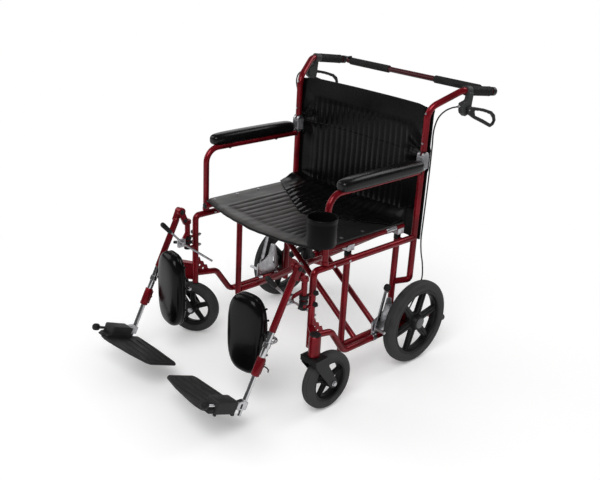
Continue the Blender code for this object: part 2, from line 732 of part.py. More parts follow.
def arm_tube(name, side, body):
    """Arm rest tube from the upper rail, under the pad, to the cane."""
    x = side * FRAME_X
    foot = UPPER_Z + TUBE + GAP
    path = rounded([(x, ARM_Y, foot + 0.004), (x, ARM_Y, ARM_Z), (x, -TUBE - GAP, ARM_Z)], 0.048, 5)
    collar = rod((x, ARM_Y, foot), (x, ARM_Y, foot + 0.012), 0.0125, 12)
    keep(name, fuse(tube(path, 0.0105), collar), body, "red")


def arm_pad(name, side, body):
    """Long moulded arm pad with rounded ends."""
    x = side * PAD_X
    pad = box((x - PAD_HALF, -0.405, ARM_Z + 0.0105 + GAP), (x + PAD_HALF, -0.019, PAD_TOP), 0.012, 3)
    keep(name, pad, body, "vinyl")


def cup_holder(name, body):
    """Round cup holder with an open top, clamped to the left arm post."""
    x, y = CUP_CENTRE
    wall = 0.0025
    cup = turned([(0.0, CUP_BOTTOM), (CUP_RADIUS - 0.005, CUP_BOTTOM), (CUP_RADIUS - 0.001, CUP_BOTTOM + 0.004),
                  (CUP_RADIUS, CUP_TOP - 0.010), (CUP_RADIUS + 0.001, CUP_TOP), (CUP_RADIUS - wall, CUP_TOP),
                  (CUP_RADIUS - wall - 0.001, CUP_BOTTOM + wall), (0.0, CUP_BOTTOM + wall)], 24,
                 Matrix.Translation((x, y, 0)), closed=False)
    arm = box((FRAME_X - 0.004, ARM_Y - 0.045, 0.585), (FRAME_X + 0.030, ARM_Y + 0.004, 0.613))
    clamp = rod((FRAME_X, ARM_Y, 0.582), (FRAME_X, ARM_Y, 0.616), 0.0155, 14)
    inside = rod((x, y, CUP_BOTTOM + 0.01), (x, y, CUP_TOP + 0.01), CUP_RADIUS - wall - 0.0008, 24)
    post = drill((FRAME_X, ARM_Y, 0.56), (FRAME_X, ARM_Y, 0.64), 0.0105, 12)
    bracket = cut(fuse(arm, clamp), inside, post)
    keep(name, fuse(cup, bracket), body, "plastic")


def wheel_lock_body(name, side, body):
    """Silver plate of the wheel lock, seated on the lower rail."""
    x = side * FRAME_X
    rail_top = LOWER_Z + TUBE + GAP
    outline = soften([(-0.182, rail_top), (-0.070, rail_top), (-0.076, 0.190), (-0.092, 0.256), (-0.112, 0.262),
                      (-0.126, 0.214), (-0.182, 0.188)], 0.006, 2)
    slab = plate(outline, x - 0.0025, x + 0.0025)
    pin = rod((x, *LOCK_PIVOT), (x + side * 0.0085, *LOCK_PIVOT), 0.0035, 12)
    stop = rod((x, -0.094, 0.226), (x + side * 0.0070, -0.094, 0.226), 0.0060, 12)
    keep(name, fuse(slab, pin, stop), body, "silver")


def wheel_lock_lever(name, side, body):
    """Push lever of the wheel lock, with its knob and the bar that presses the tyre."""
    x = side * (FRAME_X + 0.0028)
    y, z = LOCK_PIVOT
    outline = [(y - 0.008, z - 0.010), (y + 0.008, z - 0.006), (y + 0.014, z + 0.030), (-0.122, 0.300),
               (-0.134, 0.302), (y + 0.002, z + 0.040), (y - 0.010, z + 0.006)]
    arm = plate(outline, x, x + side * 0.0050)
    knob = rod((side * 0.2990, -0.126, 0.305), (side * 0.3160, -0.126, 0.305), 0.0130, 12)
    eccentric = rod((side * 0.3070, y - 0.007, z - 0.006), (side * 0.3120, y - 0.007, z - 0.006), 0.0105, 14)
    bar = rod((side * 0.3100, y - 0.011, z - 0.009), (side * 0.3520, y - 0.011, z - 0.009), 0.0055, 12)
    hole = drill((side * 0.2950, y, z), (side * 0.3100, y, z), 0.0035, 12)
    keep(name, cut(fuse(arm, knob, eccentric, bar), hole), body, "silver")


def on_leg(distance, offset=0.0):
    """A point down the leg rest's tube from its pivot, offset forward of the tube."""
    down = Vector((0, -math.sin(LEG_ANGLE), -math.cos(LEG_ANGLE)))
    ahead = Vector((0, -math.cos(LEG_ANGLE), math.sin(LEG_ANGLE)))
    return Vector((0, *LEG_PIVOT)) + down * distance + ahead * offset


def leg_point(side, distance, x=LEG_X, offset=0.0):
    point = on_leg(distance, offset)
    return Vector((side * x, point.y, point.z))


def hanger(name, side, body):
    """Swing-away hanger: post, arm, elevating pivot and the ratchet's bracket."""
    x = side * LEG_X
    foot = 0.3445 + 0.0032 + GAP
    post = rod((x, SWING_Y, foot), (x, SWING_Y, 0.4500), HANGER, 12)
    arm = tube([Vector((x, SWING_Y, 0.4400)), Vector((x, SWING_Y - 0.0155, 0.4640))], HANGER)
    cap = rod((x, SWING_Y, 0.436), (x, SWING_Y, 0.452), 0.0130, 12)
    y, z = LEG_PIVOT
    link = plate([(SWING_Y - 0.004, 0.446), (SWING_Y - 0.022, 0.438), (y - 0.010, z - 0.006), (y + 0.008, z + 0.010)],
                 side * 0.2840, side * 0.2965)
    boss = rod((side * 0.2840, y, z), (side * 0.2965, y, z), 0.0155, 14)
    pin = rod((side * 0.2900, y, z), (side * 0.3150, y, z), 0.0050, 12)
    ry, rz = RELEASE_PIVOT
    bracket = tube([Vector((x, SWING_Y, 0.408)), Vector((side * 0.2800, ry + 0.003, rz + 0.002))], 0.0065, 2)
    ratchet = box((min(side * 0.2745, side * 0.2860), ry - 0.014, rz - 0.016),
                  (max(side * 0.2745, side * 0.2860), ry + 0.014, rz + 0.014), 0.002, 1)
    release_pin = rod((side * 0.2660, ry, rz), (side * 0.2800, ry, rz), 0.0025, 10)
    pieces = [arm, cap, link, boss, pin, bracket, ratchet, release_pin]
    keep(name, fuse(post, *pieces), body, "red")


def swing_latch(name, side, body):
    """Latch ring round the hanger post with a finger tab."""
    x = side * LEG_X
    frame = Matrix()
    tab_end = (x + side * 0.026, SWING_Y - 0.040)
    ring = rod((x, SWING_Y, 0.361), (x, SWING_Y, 0.372), 0.0140, 14)
    tab = plate(soften([(x + side * 0.004, SWING_Y - 0.002), (tab_end[0] + side * 0.008, tab_end[1] + 0.004),
                        (tab_end[0] - side * 0.004, tab_end[1] - 0.006), (x - side * 0.006, SWING_Y - 0.008)],
                       0.002, 2), 0.363, 0.370, frame=frame)
    hole = drill((x, SWING_Y, 0.350), (x, SWING_Y, 0.376), HANGER, 12)
    keep(name, cut(fuse(ring, tab), hole), body, "plastic")


def leg_tube(name, side, body):
    """Upper red tube of the elevating leg rest, with its pivot lug."""
    shaft = tube([leg_point(side, 0.030), leg_point(side, 0.2070)], TUBE)
    y, z = LEG_PIVOT
    eye = rod((side * 0.2970, y, z), (side * 0.3120, y, z), 0.0130, 14)
    ends = [on_leg(0.0, 0.010), on_leg(0.036, 0.010), on_leg(0.036, -0.010), on_leg(0.0, -0.010)]
    lug = plate([(point.y, point.z) for point in ends], side * 0.2970, side * 0.3120)
    leg = fuse(shaft, eye, lug)
    socket = drill(leg_point(side, 0.186), leg_point(side, 0.220), INNER_TUBE, 12)
    pin_hole = drill((side * 0.28, y, z), (side * 0.32, y, z), 0.0050, 12)
    keep(name, cut(leg, socket, pin_hole), body, "red")


def inner_tube(name, side, body):
    """Dark perforated tube inside the leg tube, with the arm that carries the calf pad."""
    shaft = rod(leg_point(side, 0.1865), leg_point(side, 0.3480), INNER_TUBE, 12)
    y, z = PAD_HINGE
    start = leg_point(side, 0.2500)
    arm = tube(rounded([start, Vector((side * LEG_X, y, z)), Vector((side * 0.1500, y, z))], 0.016, 4),
               0.0050, 2)
    band = rod(leg_point(side, 0.2420), leg_point(side, 0.2580), 0.0125, 12)
    shaft = fuse(shaft, arm, band)
    bore = drill(leg_point(side, 0.2200), leg_point(side, 0.3600), CHROME_TUBE, 12)
    shaft = cut(shaft, bore)
    for index in range(3):
        place = leg_point(side, 0.2160 + 0.0105 * index)
        ahead = leg_point(side, 0.2160 + 0.0105 * index, offset=0.02)
        back = leg_point(side, 0.2160 + 0.0105 * index, offset=0.004)
        shaft = cut(shaft, rod(back, ahead, 0.0028, 8)) if place else shaft
    keep(name, shaft, body, "plastic")


def clamp_sleeve(name, side, body):
    """Red sleeve that clamps the foot tube at its set length."""
    sleeve = rod(leg_point(side, 0.2890), leg_point(side, 0.3490), 0.0135, 14)
    boss = rod(leg_point(side, 0.3180, offset=0.008), leg_point(side, 0.3180, offset=0.0200), 0.0060, 10)
    bore = drill(leg_point(side, 0.2800), leg_point(side, 0.3600), INNER_TUBE, 12)
    keep(name, cut(fuse(sleeve, boss), bore), body, "red")


def foot_frame(side):
    """Frame of the footplate's pin: X outward, Y back along the pin, Z off the plate."""
    c = math.cos(FOOT_TILT)
    s = math.sin(FOOT_TILT)
    return Matrix(((1, 0, 0, side * LEG_X), (0, c, s, FOOT_PIN[0]), (0, -s, c, FOOT_PIN[1]), (0, 0, 0, 1)))


def foot_extension(name, side, body):
    """Chrome tube that sets the leg length, with the bracket and pin of the footplate."""
    shaft = rod(leg_point(side, 0.2700), leg_point(side, 0.4560), CHROME_TUBE, 12)
    place = foot_frame(side)
    bracket = plate(soften([(-0.026, -0.013), (0.014, -0.013), (0.016, 0.012), (-0.004, 0.018), (-0.026, 0.012)],
                           0.003, 2), -0.0085, 0.0085)
    bracket.data.transform(place)
    pin = rod((0, -0.020, 0), (0, -0.152, 0), 0.0050, 12)
    pin.data.transform(place)
    tail = rod(leg_point(side, 0.4500), leg_point(side, 0.4800), 0.0060, 12)
    keep(name, fuse(shaft, bracket, pin, tail), body, "chrome")


def footplate(name, side, body):
    """Grooved footplate and its hinge block, flipping up about the bracket's pin."""
    outline = soften([(side * -0.255, 0.020), (side * -0.255, -0.097), (side * -0.045, -0.137),
                      (side * -0.0165, -0.137), (side * -0.0165, 0.020)], 0.010, 3)
    slab = plate(outline, -0.0255, -0.0165, frame=Matrix())
    block = box((min(side * 0.012, side * -0.050), -0.143, -0.0250), (max(side * 0.012, side * -0.050), -0.030, 0.0240),
                0.006, 2)
    knob = rod((0, -0.142, 0), (0, -0.1630, 0), 0.0120, 12)
    foot = fuse(slab, block, knob)
    bore = drill((0, 0.0, 0), (0, -0.1535, 0), 0.0050, 12)
    grooves = []
    for index in range(7):
        x = side * (-0.075 - 0.025 * index)
        grooves.append(box((x - 0.0015, -0.088, -0.0180), (x + 0.0015, 0.010, -0.0100)))
    foot = cut(foot, bore, *grooves)
    foot.data.transform(foot_frame(side))
    keep(name, foot, body, "plastic")


def calf_pad(name, side, body):
    """Padded calf rest: crowned oval cushion with two ears on the hinge rod."""
    work = bmesh.new()
    bmesh.ops.create_uvsphere(work, u_segments=16, v_segments=8, radius=1.0)

    def press(value, power):
        return math.copysign(abs(value) ** power, value)

    half = Vector((0.068, 0.027, 0.138))
    for vertex in work.verts:
        flat = math.hypot(vertex.co.x, vertex.co.y)
        share = flat ** 0.62 / flat if flat > 1e-6 else 0.0
        x = press(vertex.co.x * share, 0.72)
        y = press(vertex.co.y * share, 0.85)
        z = press(vertex.co.z, 0.80)
        vertex.co = Vector((x * half.x, y * half.y, z * half.z))
    turn = Matrix.Rotation(side * math.radians(8), 4, "Z")
    centre = Vector((side * CALF_CENTRE[0], CALF_CENTRE[1], CALF_CENTRE[2]))
    bmesh.ops.transform(work, matrix=Matrix.Translation(centre) @ turn, verts=work.verts)
    mesh = bpy.data.meshes.new("calf")
    work.to_mesh(mesh)
    work.free()
    pad = solid(mesh)
    y, z = PAD_HINGE
    ears = []
    for offset in (-0.030, 0.030):
        x = centre.x + offset
        ears.append(rod((x - 0.004, y, z), (x + 0.004, y, z), 0.0095, 12))
        ears.append(box((x - 0.004, CALF_CENTRE[1] + 0.005, z - 0.008), (x + 0.004, y, z + 0.008)))
    pad = fuse(pad, *ears)
    hole = drill((centre.x - 0.05, y, z), (centre.x + 0.05, y, z), 0.0050, 12)
    keep(name, cut(pad, hole), body, "vinyl")


def release_lever(name, side, body):
    """Lever that frees the elevating ratchet: knob in front, rod running back."""
    x = side * RELEASE_X
    y, z = RELEASE_PIVOT
    tail = tube([Vector((x, -0.430, 0.281)), Vector((x, y, z)), Vector((x, -0.622, 0.449))], 0.0040, 2)
    hub = rod((x - 0.0042, y, z), (x + 0.0042, y, z), 0.0080, 12)
    knob = rod((x, -0.616, 0.4425), (x, -0.6460, 0.4745), 0.0085, 16, 0.0070)
    lever = fuse(tail, hub, knob)
    hole = drill((x - 0.01, y, z), (x + 0.02, y, z), 0.0025, 10)
    keep(name, cut(lever, hole), body, "plastic")


def stabiliser_bar(name, body):
    """Bar between the handles, with the eye it swings down on."""
    z = handle_height(BAR_Y)
    bar = tube([Vector((BAR_PIN_X - 0.014, BAR_Y, z)), Vector((BAR_END_X, BAR_Y, z))], BAR)
    eye = rod((BAR_PIN_X, BAR_Y - 0.0085, z), (BAR_PIN_X, BAR_Y + 0.0085, z), 0.0080, 12)
    web = box((BAR_PIN_X - 0.020, BAR_Y - 0.0085, z - 0.007), (BAR_PIN_X, BAR_Y + 0.0085, z + 0.007))
    bar = fuse(bar, eye, web)
    hole = drill((BAR_PIN_X, BAR_Y - 0.02, z), (BAR_PIN_X, BAR_Y + 0.02, z), 0.0030, 10)
    keep(name, cut(bar, hole), body, "red")


def bar_foam(name, start, end, body):
    z = handle_height(BAR_Y)
    foam = rod((start, BAR_Y, z), (end, BAR_Y, z), FOAM, 14)
    bore = drill((start - 0.01, BAR_Y, z), (end + 0.01, BAR_Y, z), BAR, 12)
    keep(name, cut(foam, bore), body, "foam")


def build_side(word, side, frame_body, canes, brace, brace_tubes):
    """Everything that one side frame carries."""
    side_frame("side_frame_" + word, side, frame_body)
    arm_tube("arm_tube_" + word, side, frame_body)
    arm_pad("arm_pad_" + word, side, frame_body)
    hinge_clamp("back_hinge_" + word, side, frame_body)
    wheel_lock_body("wheel_lock_body_" + word, side, frame_body)
    brake_cable("brake_cable_" + word, side, frame_body)
    upper_cane("push_cane_" + word, side, canes)
    hand_grip("hand_grip_" + word, side, canes)
    lever_housing("lever_housing_" + word, side, canes)
    lever = make_empty("brake_lever_axis_" + word, (side * 0.3750, *LEVER_PIN), canes)
    brake_lever("brake_lever_" + word, side, lever)
    lock = make_empty("wheel_lock_axis_" + word, (side * FRAME_X, *LOCK_PIVOT), frame_body)
    wheel_lock_lever("wheel_lock_lever_" + word, side, lock)
    swivel = make_empty("caster_swivel_" + word, (side * CASTER_X, CASTER_Y, 0), frame_body)
    caster_fork("caster_fork_" + word, side, swivel)
    hub = caster_matrix(side) @ Vector((0, TRAIL, CASTER_RADIUS))
    roll = make_empty("caster_axle_" + word, hub, swivel)
    caster_wheel("caster_rim_" + word, "caster_tyre_" + word, side, roll)
    axle = make_empty("rear_axle_" + word, (side * REAR_X, 0, REAR_RADIUS), frame_body)
    rear_wheel("rear_rim_" + word, "rear_tyre_" + word, side, axle)
    build_leg_rest(word, side, frame_body)
    cross_brace("cross_brace_" + word, side, brace_tubes, brace)


def build_leg_rest(word, side, frame_body):
    """The swing-away, elevating leg rest of one side."""
    swing = make_empty("leg_swing_" + word, (side * LEG_X, SWING_Y, 0.400), frame_body)
    hanger("leg_hanger_" + word, side, swing)
    latch = make_empty("latch_axis_" + word, (side * LEG_X, SWING_Y, 0.3665), swing)
    swing_latch("swing_latch_" + word, side, latch)
    release = make_empty("release_axis_" + word, (side * RELEASE_X, *RELEASE_PIVOT), swing)
    release_lever("release_lever_" + word, side, release)
    raise_axis = make_empty("leg_raise_" + word, (side * LEG_X, *LEG_PIVOT), swing)
    leg_tube("leg_tube_" + word, side, raise_axis)
    inner_tube("leg_inner_tube_" + word, side, raise_axis)
    clamp_sleeve("leg_clamp_sleeve_" + word, side, raise_axis)
    tilt = make_empty("calf_tilt_" + word, (side * CALF_CENTRE[0], *PAD_HINGE), raise_axis)
    calf_pad("calf_pad_" + word, side, tilt)
    slide = make_empty("leg_length_" + word, leg_point(side, 0.348), raise_axis)
    foot_extension("foot_extension_" + word, side, slide)
    flip = make_empty("foot_flip_" + word, (side * LEG_X, *FOOT_PIN), slide)
    footplate("footplate_" + word, side, flip)


chair_parts = start_scene()
chair = make_empty("chair", (0, REAR_AXLE_Y, 0), None)
fold = make_empty("fold_axis", (POST_X, 0, LOWER_Z), chair)
cross = make_empty("brace_cross_axis", (0, 0, (LOWER_Z + RAIL_Z) / 2), fold)
right_frame = make_empty("right_frame_axis", (-POST_X, 0, LOWER_Z), cross)
cane_left = make_empty("back_drop_left", (FRAME_X, 0, HINGE_Z), chair)
cane_right = make_empty("back_drop_right", (-FRAME_X, 0, HINGE_Z), right_frame)
build_side("left", 1, chair, cane_left, fold, BRACE_A_Y)
build_side("right", -1, right_frame, cane_right, cross, BRACE_B_Y)
pivot_bolt("brace_pivot_bolt", fold)
sheet("seat_sling", fold, (SEAT_CELLS, 8), seat_surface, SEAT_THICK, 1.0)
sheet("back_upper", cane_left, (22, 5), back_surface(UPPER_BACK), BACK_THICK, -1.0)
sheet("back_lower", chair, (22, 5), back_surface(LOWER_BACK), BACK_THICK, -1.0)
cup_holder("cup_holder", chair)
bar_swing = make_empty("bar_axis", (BAR_PIN_X, BAR_Y, handle_height(BAR_Y)), cane_left)
stabiliser_bar("stabiliser_bar", bar_swing)
bar_foam("bar_foam_left", FOAM_INNER, BAR_PIN_X - 0.021, bar_swing)
bar_foam("bar_foam_right", BAR_END_X + 0.0165, -FOAM_INNER, bar_swing)
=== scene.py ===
import math

import bmesh
import bpy
from mathutils import Matrix, Vector, noise


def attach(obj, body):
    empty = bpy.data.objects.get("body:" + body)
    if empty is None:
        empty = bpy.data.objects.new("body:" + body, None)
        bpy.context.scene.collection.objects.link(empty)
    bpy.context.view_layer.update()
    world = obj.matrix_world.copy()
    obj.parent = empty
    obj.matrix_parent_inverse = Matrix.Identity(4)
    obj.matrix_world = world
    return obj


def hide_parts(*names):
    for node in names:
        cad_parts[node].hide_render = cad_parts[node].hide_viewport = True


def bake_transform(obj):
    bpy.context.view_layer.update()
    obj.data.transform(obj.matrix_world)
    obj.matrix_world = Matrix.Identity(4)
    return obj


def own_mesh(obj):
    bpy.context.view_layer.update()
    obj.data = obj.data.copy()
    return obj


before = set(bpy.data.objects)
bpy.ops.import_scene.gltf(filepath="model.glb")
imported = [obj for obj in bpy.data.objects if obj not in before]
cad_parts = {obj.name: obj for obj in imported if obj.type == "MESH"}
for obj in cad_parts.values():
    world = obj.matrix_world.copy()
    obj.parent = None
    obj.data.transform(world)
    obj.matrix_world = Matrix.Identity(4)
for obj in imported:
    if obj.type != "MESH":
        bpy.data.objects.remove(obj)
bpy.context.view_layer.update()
scene = bpy.context.scene

# Camera. It stands where the photographer stood: in front of the chair, on the
# sitter's left and above the seat, found by fitting the chair's joints to the picture.
azimuth, elevation, roll = (math.radians(angle) for angle in (45.71, 21.92, 3.07))
look_back = Vector((math.sin(azimuth) * math.cos(elevation), -math.cos(azimuth) * math.cos(elevation),
                    math.sin(elevation)))
level_right = Vector((math.cos(azimuth), math.sin(azimuth), 0))
level_up = look_back.cross(level_right)
camera_right = level_right * math.cos(roll) + level_up * math.sin(roll)
camera_up = level_up * math.cos(roll) - level_right * math.sin(roll)
camera = bpy.data.objects.new("camera", bpy.data.cameras.new("camera"))
camera.data.lens = 48.29
camera.data.sensor_width = 36
camera.data.shift_x = 0.0047
camera.data.shift_y = -0.0012
camera.matrix_world = (Matrix.Translation((1.866, -1.778, 1.464))
                       @ Matrix((camera_right, camera_up, look_back)).transposed().to_4x4())
scene.collection.objects.link(camera)
scene.camera = camera
scene.view_settings.view_transform = "Standard"


# Studio. A white sweep of paper under soft boxes in a dark hall: it is white to the
# camera, while glossy paint mirrors the boxes and a dim room, so blacks stay black.
WHITE = (1.0, 1.0, 1.0, 1.0)


def wired(tree, *rows):
    """Nodes of a tree from rows: name, kind, settings, and inputs as values or (node, output)."""
    for name, kind, settings, inputs in rows:
        node = tree.nodes.get(name) or tree.nodes.new("ShaderNode" + kind)
        node.name = name
        for key, value in settings.items():
            setattr(node, key, value)
        for socket, value in inputs.items():
            if isinstance(value, tuple) and isinstance(value[0], str):
                tree.links.new(tree.nodes[value[0]].outputs[value[1]], node.inputs[socket])
            else:
                node.inputs[socket].default_value = value


world = bpy.data.worlds.new("studio")
scene.world = world
world.use_nodes = True
wired(world.node_tree,
      ("seen", "LightPath", {}, {}),
      ("either", "Math", {"operation": "ADD", "use_clamp": True},
       {0: ("seen", "Is Camera Ray"), 1: ("seen", "Is Transmission Ray")}),
      ("strength", "MapRange", {}, {"Value": ("either", 0), "To Min": 0.42, "To Max": 1.0}),
      ("mirrored", "MapRange", {}, {"Value": ("seen", "Is Glossy Ray"), "To Min": 1.0, "To Max": 0.22}),
      ("dimmed", "Math", {"operation": "MULTIPLY"}, {0: ("strength", "Result"), 1: ("mirrored", "Result")}),
      ("Background", "", {}, {"Color": WHITE, "Strength": ("dimmed", 0)}))

paper = bpy.data.materials.new("studio_paper")
paper.use_nodes = True
wired(paper.node_tree,
      ("seen", "LightPath", {}, {}),
      ("glow", "MapRange", {}, {"Value": ("seen", "Is Camera Ray"), "To Min": 0.0, "To Max": 0.2}),
      ("Principled BSDF", "", {}, {"Base Color": (0.9, 0.9, 0.9, 1.0), "Roughness": 0.9, "Emission Color": WHITE,
                                   "Emission Strength": ("glow", "Result")}),
      ("spot", "TexCoord", {}, {}),
      ("from_chair", "VectorMath", {"operation": "LENGTH"}, {0: ("spot", "Object")}),
      ("sweep", "MapRange", {"interpolation_type": "SMOOTHSTEP"},
       {"Value": ("from_chair", "Value"), "From Min": 0.55, "From Max": 1.6}),
      ("far_white", "Math", {"operation": "MULTIPLY"}, {0: ("sweep", "Result"), 1: ("seen", "Is Camera Ray")}),
      ("white_light", "Emission", {}, {}),
      ("fade", "MixShader", {}, {"Fac": ("far_white", 0), 1: ("Principled BSDF", "BSDF"),
                                 2: ("white_light", "Emission")}),
      ("Material Output", "", {}, {"Surface": ("fade", "Shader")}))
work = bmesh.new()
bmesh.ops.create_grid(work, x_segments=2, y_segments=2, size=9.0)
floor_data = bpy.data.meshes.new("studio_floor")
work.to_mesh(floor_data)
work.clear()
floor_data.materials.append(paper)
studio_floor = bpy.data.objects.new("studio_floor", floor_data)
scene.collection.objects.link(studio_floor)

LAMPS_AIM = Vector((0, 0, 0.45))
for lamp_name, place, size, power in (("key_box", (1.3, -2.2, 3.2), 2.0, 66),
                                      ("fill_box", (-2.8, -1.4, 2.2), 2.4, 30),
                                      ("rear_box", (0.6, 2.8, 2.6), 2.0, 34),
                                      ("sheen_box", (-2.5, 2.1, 1.7), 1.9, 11)):
    lamp = bpy.data.objects.new(lamp_name, bpy.data.lights.new(lamp_name, "AREA"))
    lamp.data.shape = "SQUARE"
    lamp.data.size = size
    lamp.data.energy = power
    lamp.location = place
    lamp.rotation_euler = (LAMPS_AIM - Vector(place)).to_track_quat("-Z", "Y").to_euler()
    scene.collection.objects.link(lamp)


# Side frames. Each is a welded frame of 22 mm steel tube: hoop, wave-shaped lower rail
# that runs on as the tip lever, posts with saddles for the seat rail, caster barrel on
# two plates, perforated gusset, axle boss and the lugs of the leg rest. Red metallic paint.
SIDES = (("left", 1), ("right", -1))
AXLE_Y = 0.308
FRAME_TUBE = 0.0111
FRAME_X = 0.301
POST_X = 0.272
HOOP_Y = -0.481
POSTS_Y = (-0.301, -0.056)
UPPER_RAIL_Z = 0.4585
LOWER_RAIL_Z = 0.126
SEAT_RAIL_Z = 0.5
CASTER_X = 0.362
CASTER_Y = -0.52
LEG_X = 0.3
SWING_Y = -0.517
COLLARS_Z = (0.384, 0.3445)
REAR_TYRE = 0.1525
X_AXIS = Vector((1, 0, 0))
Y_AXIS = Vector((0, 1, 0))
Z_AXIS = Vector((0, 0, 1))
SIDE_TURN = Matrix(((0, 0, 1, 0), (1, 0, 0, 0), (0, 1, 0, 0), (0, 0, 0, 1)))
UP_TURN = Matrix(((0, 0, 1, 0), (0, 1, 0, 0), (1, 0, 0, 0), (0, 0, 0, 1)))


def at(x, y, z):
    """A point of the chair, with y counted from the rear axle as in the drawing."""
    return Vector((x, y + AXLE_Y, z))


def arc(radius, start, end, steps, centre=(0, 0)):
    """Points along an arc, both ends included."""
    angles = [start + (end - start) * step / steps for step in range(steps + 1)]
    return [(centre[0] + radius * math.cos(angle), centre[1] + radius * math.sin(angle)) for angle in angles]


def corners_rounded(points, radius, steps=7):
    """The path with each corner turned into an arc."""
    path = [points[0]]
    for before, corner, after in zip(points, points[1:], points[2:]):
        inward = (before - corner).normalized()
        onward = (after - corner).normalized()
        half = inward.angle(onward) / 2
        centre = corner + (inward + onward).normalized() * (radius / math.sin(half))
        reach = radius / math.tan(half)
        first = (corner + inward * reach - centre).normalized()
        last = (corner + onward * reach - centre).normalized()
        path.extend(centre + first.slerp(last, step / steps) * radius for step in range(steps + 1))
    path.append(points[-1])
    return path


def of_kind(items, kind):
    return [item for item in items if isinstance(item, kind)]


def run_tube(path, radius, sides=20):
    """A circle extruded along a path; radius may be a list, one value for each point."""
    sizes = radius if isinstance(radius, list) else [radius] * len(path)
    heading = (path[1] - path[0]).normalized()
    place = Matrix.Translation(path[0]) @ heading.to_track_quat("Z", "Y").to_matrix().to_4x4()
    ring = bmesh.ops.create_circle(work, segments=sides, radius=sizes[0], matrix=place)["verts"]
    edges = list({edge for vertex in ring for edge in vertex.link_edges})
    first = list(edges)
    for index in range(1, len(path)):
        step = (path[index] - path[index - 1]).normalized()
        ahead = (path[index + 1] - path[index]).normalized() if index + 1 < len(path) else step
        new_heading = (step + ahead).normalized()
        added = bmesh.ops.extrude_edge_only(work, edges=edges)["geom"]
        edges = of_kind(added, bmesh.types.BMEdge)
        turn = heading.rotation_difference(new_heading).to_matrix().to_4x4()
        scale = Matrix.Scale(sizes[index] / sizes[index - 1], 4)
        move = Matrix.Translation(path[index]) @ turn @ scale @ Matrix.Translation(-path[index - 1])
        bmesh.ops.transform(work, matrix=move, verts=of_kind(added, bmesh.types.BMVert))
        heading = new_heading
    for loop in (first, edges):
        bmesh.ops.edgeloop_fill(work, edges=loop)


def bent(points, bend, radius, sides, steps=7):
    """A tube through points of the chair, its corners bent."""
    run_tube(corners_rounded([at(*point) for point in points], bend, steps), radius, sides)


def turned(base, along, rows, sides):
    """A turned piece: rows of the distance along its axis from the base, and the radius."""
    run_tube([base + along * reach for reach, _ in rows], [radius for _, radius in rows], sides)


def bar(start, end, radius, sides=20, bevel=0.0008):
    """A straight round bar with its end edges eased."""
    length = (end - start).length
    ease = min(bevel, radius * 0.4, length * 0.4)
    turned(start, (end - start).normalized(), ((0, radius - ease), (ease, radius), (length - ease, radius),
                                               (length, radius - ease)), sides)


def upright(x, y, low, high, *rest):
    bar(at(x, y, low), at(x, y, high), *rest)


def pins(s, *rows):
    """Bars across the chair: rows of y, z, the left side's two x, then what bar() takes."""
    for y, z, near, far, *rest in rows:
        bar(at(s * near, y, z), at(s * far, y, z), *rest)


def turned_round(profile, place, steps, closed=False, merge=1e-5):
    """A profile of (along the axle, radius) spun about the local X axis, then put in place."""
    line = [work.verts.new((along, 0, radius)) for along, radius in profile]
    edges = [work.edges.new(pair) for pair in zip(line, line[1:])]
    if closed:
        edges.append(work.edges.new((line[-1], line[0])))
    before = set(work.verts) - set(line)
    bmesh.ops.spin(work, geom=line + edges, cent=(0, 0, 0), axis=X_AXIS, angle=math.tau, steps=steps, use_merge=True)
    made = [vertex for vertex in work.verts if vertex not in before]
    bmesh.ops.remove_doubles(work, verts=made, dist=merge)
    made = [vertex for vertex in work.verts if vertex not in before]
    bmesh.ops.transform(work, matrix=place, verts=made)


def slab(outline, low, high, place=Matrix.Translation((0, AXLE_Y, 0)) @ SIDE_TURN, bevel=0.0006, holes=()):
    """A flat plate cut to an outline in the side plane, between two distances across it."""
    low, high = sorted((low, high))
    loops = []
    for loop in (outline, *holes):
        verts = [work.verts.new((x, y, low)) for x, y in loop]
        loops.extend(work.edges.new((a, b)) for a, b in zip(verts, verts[1:] + verts[:1]))
    if holes:
        filled = bmesh.ops.triangle_fill(work, edges=loops, use_beauty=True, normal=(0, 0, 1))["geom"]
        faces = of_kind(filled, bmesh.types.BMFace)
    else:
        faces = bmesh.ops.edgeloop_fill(work, edges=loops)["faces"]
    raised = bmesh.ops.extrude_face_region(work, geom=faces, use_keep_orig=True)["geom"]
    tops = of_kind(raised, bmesh.types.BMVert)
    bmesh.ops.translate(work, verts=tops, vec=(0, 0, high - low))
    verts = list({vertex for edge in loops for vertex in edge.verts} | set(tops))
    rims = set(loops)
    for edge in of_kind(raised, bmesh.types.BMEdge):
        if any(abs(face.normal.z) < 0.5 for face in edge.link_faces):
            rims.add(edge)
    rims = [edge for edge in rims if edge.is_valid and len(edge.link_faces) == 2 and edge.calc_face_angle(0.0) > 0.9]
    cut = bmesh.ops.bevel(work, geom=rims, offset=bevel, segments=1, profile=0.5, affect="EDGES", material=-1)
    verts = list({vertex for vertex in verts if vertex.is_valid} | set(cut["verts"]))
    bmesh.ops.transform(work, matrix=place, verts=verts)


def block(low, high, bevel=0.001, segments=2, place=Matrix()):
    """A block between two corners of the chair, its edges eased."""
    size = [abs(b - a) for a, b in zip(low, high)]
    made = bmesh.ops.create_cube(work, size=1.0)["verts"]
    bmesh.ops.scale(work, vec=size, verts=made)
    edges = list({edge for vertex in made for edge in vertex.link_edges})
    eased = bmesh.ops.bevel(work, geom=edges, offset=min(bevel, min(size) * 0.45), segments=segments, profile=0.5,
                            affect="EDGES", material=-1)
    verts = list({vertex for vertex in made if vertex.is_valid} | set(eased["verts"]))
    centre = Matrix.Translation((Vector(low) + Vector(high)) / 2)
    bmesh.ops.transform(work, matrix=place @ centre, verts=verts)


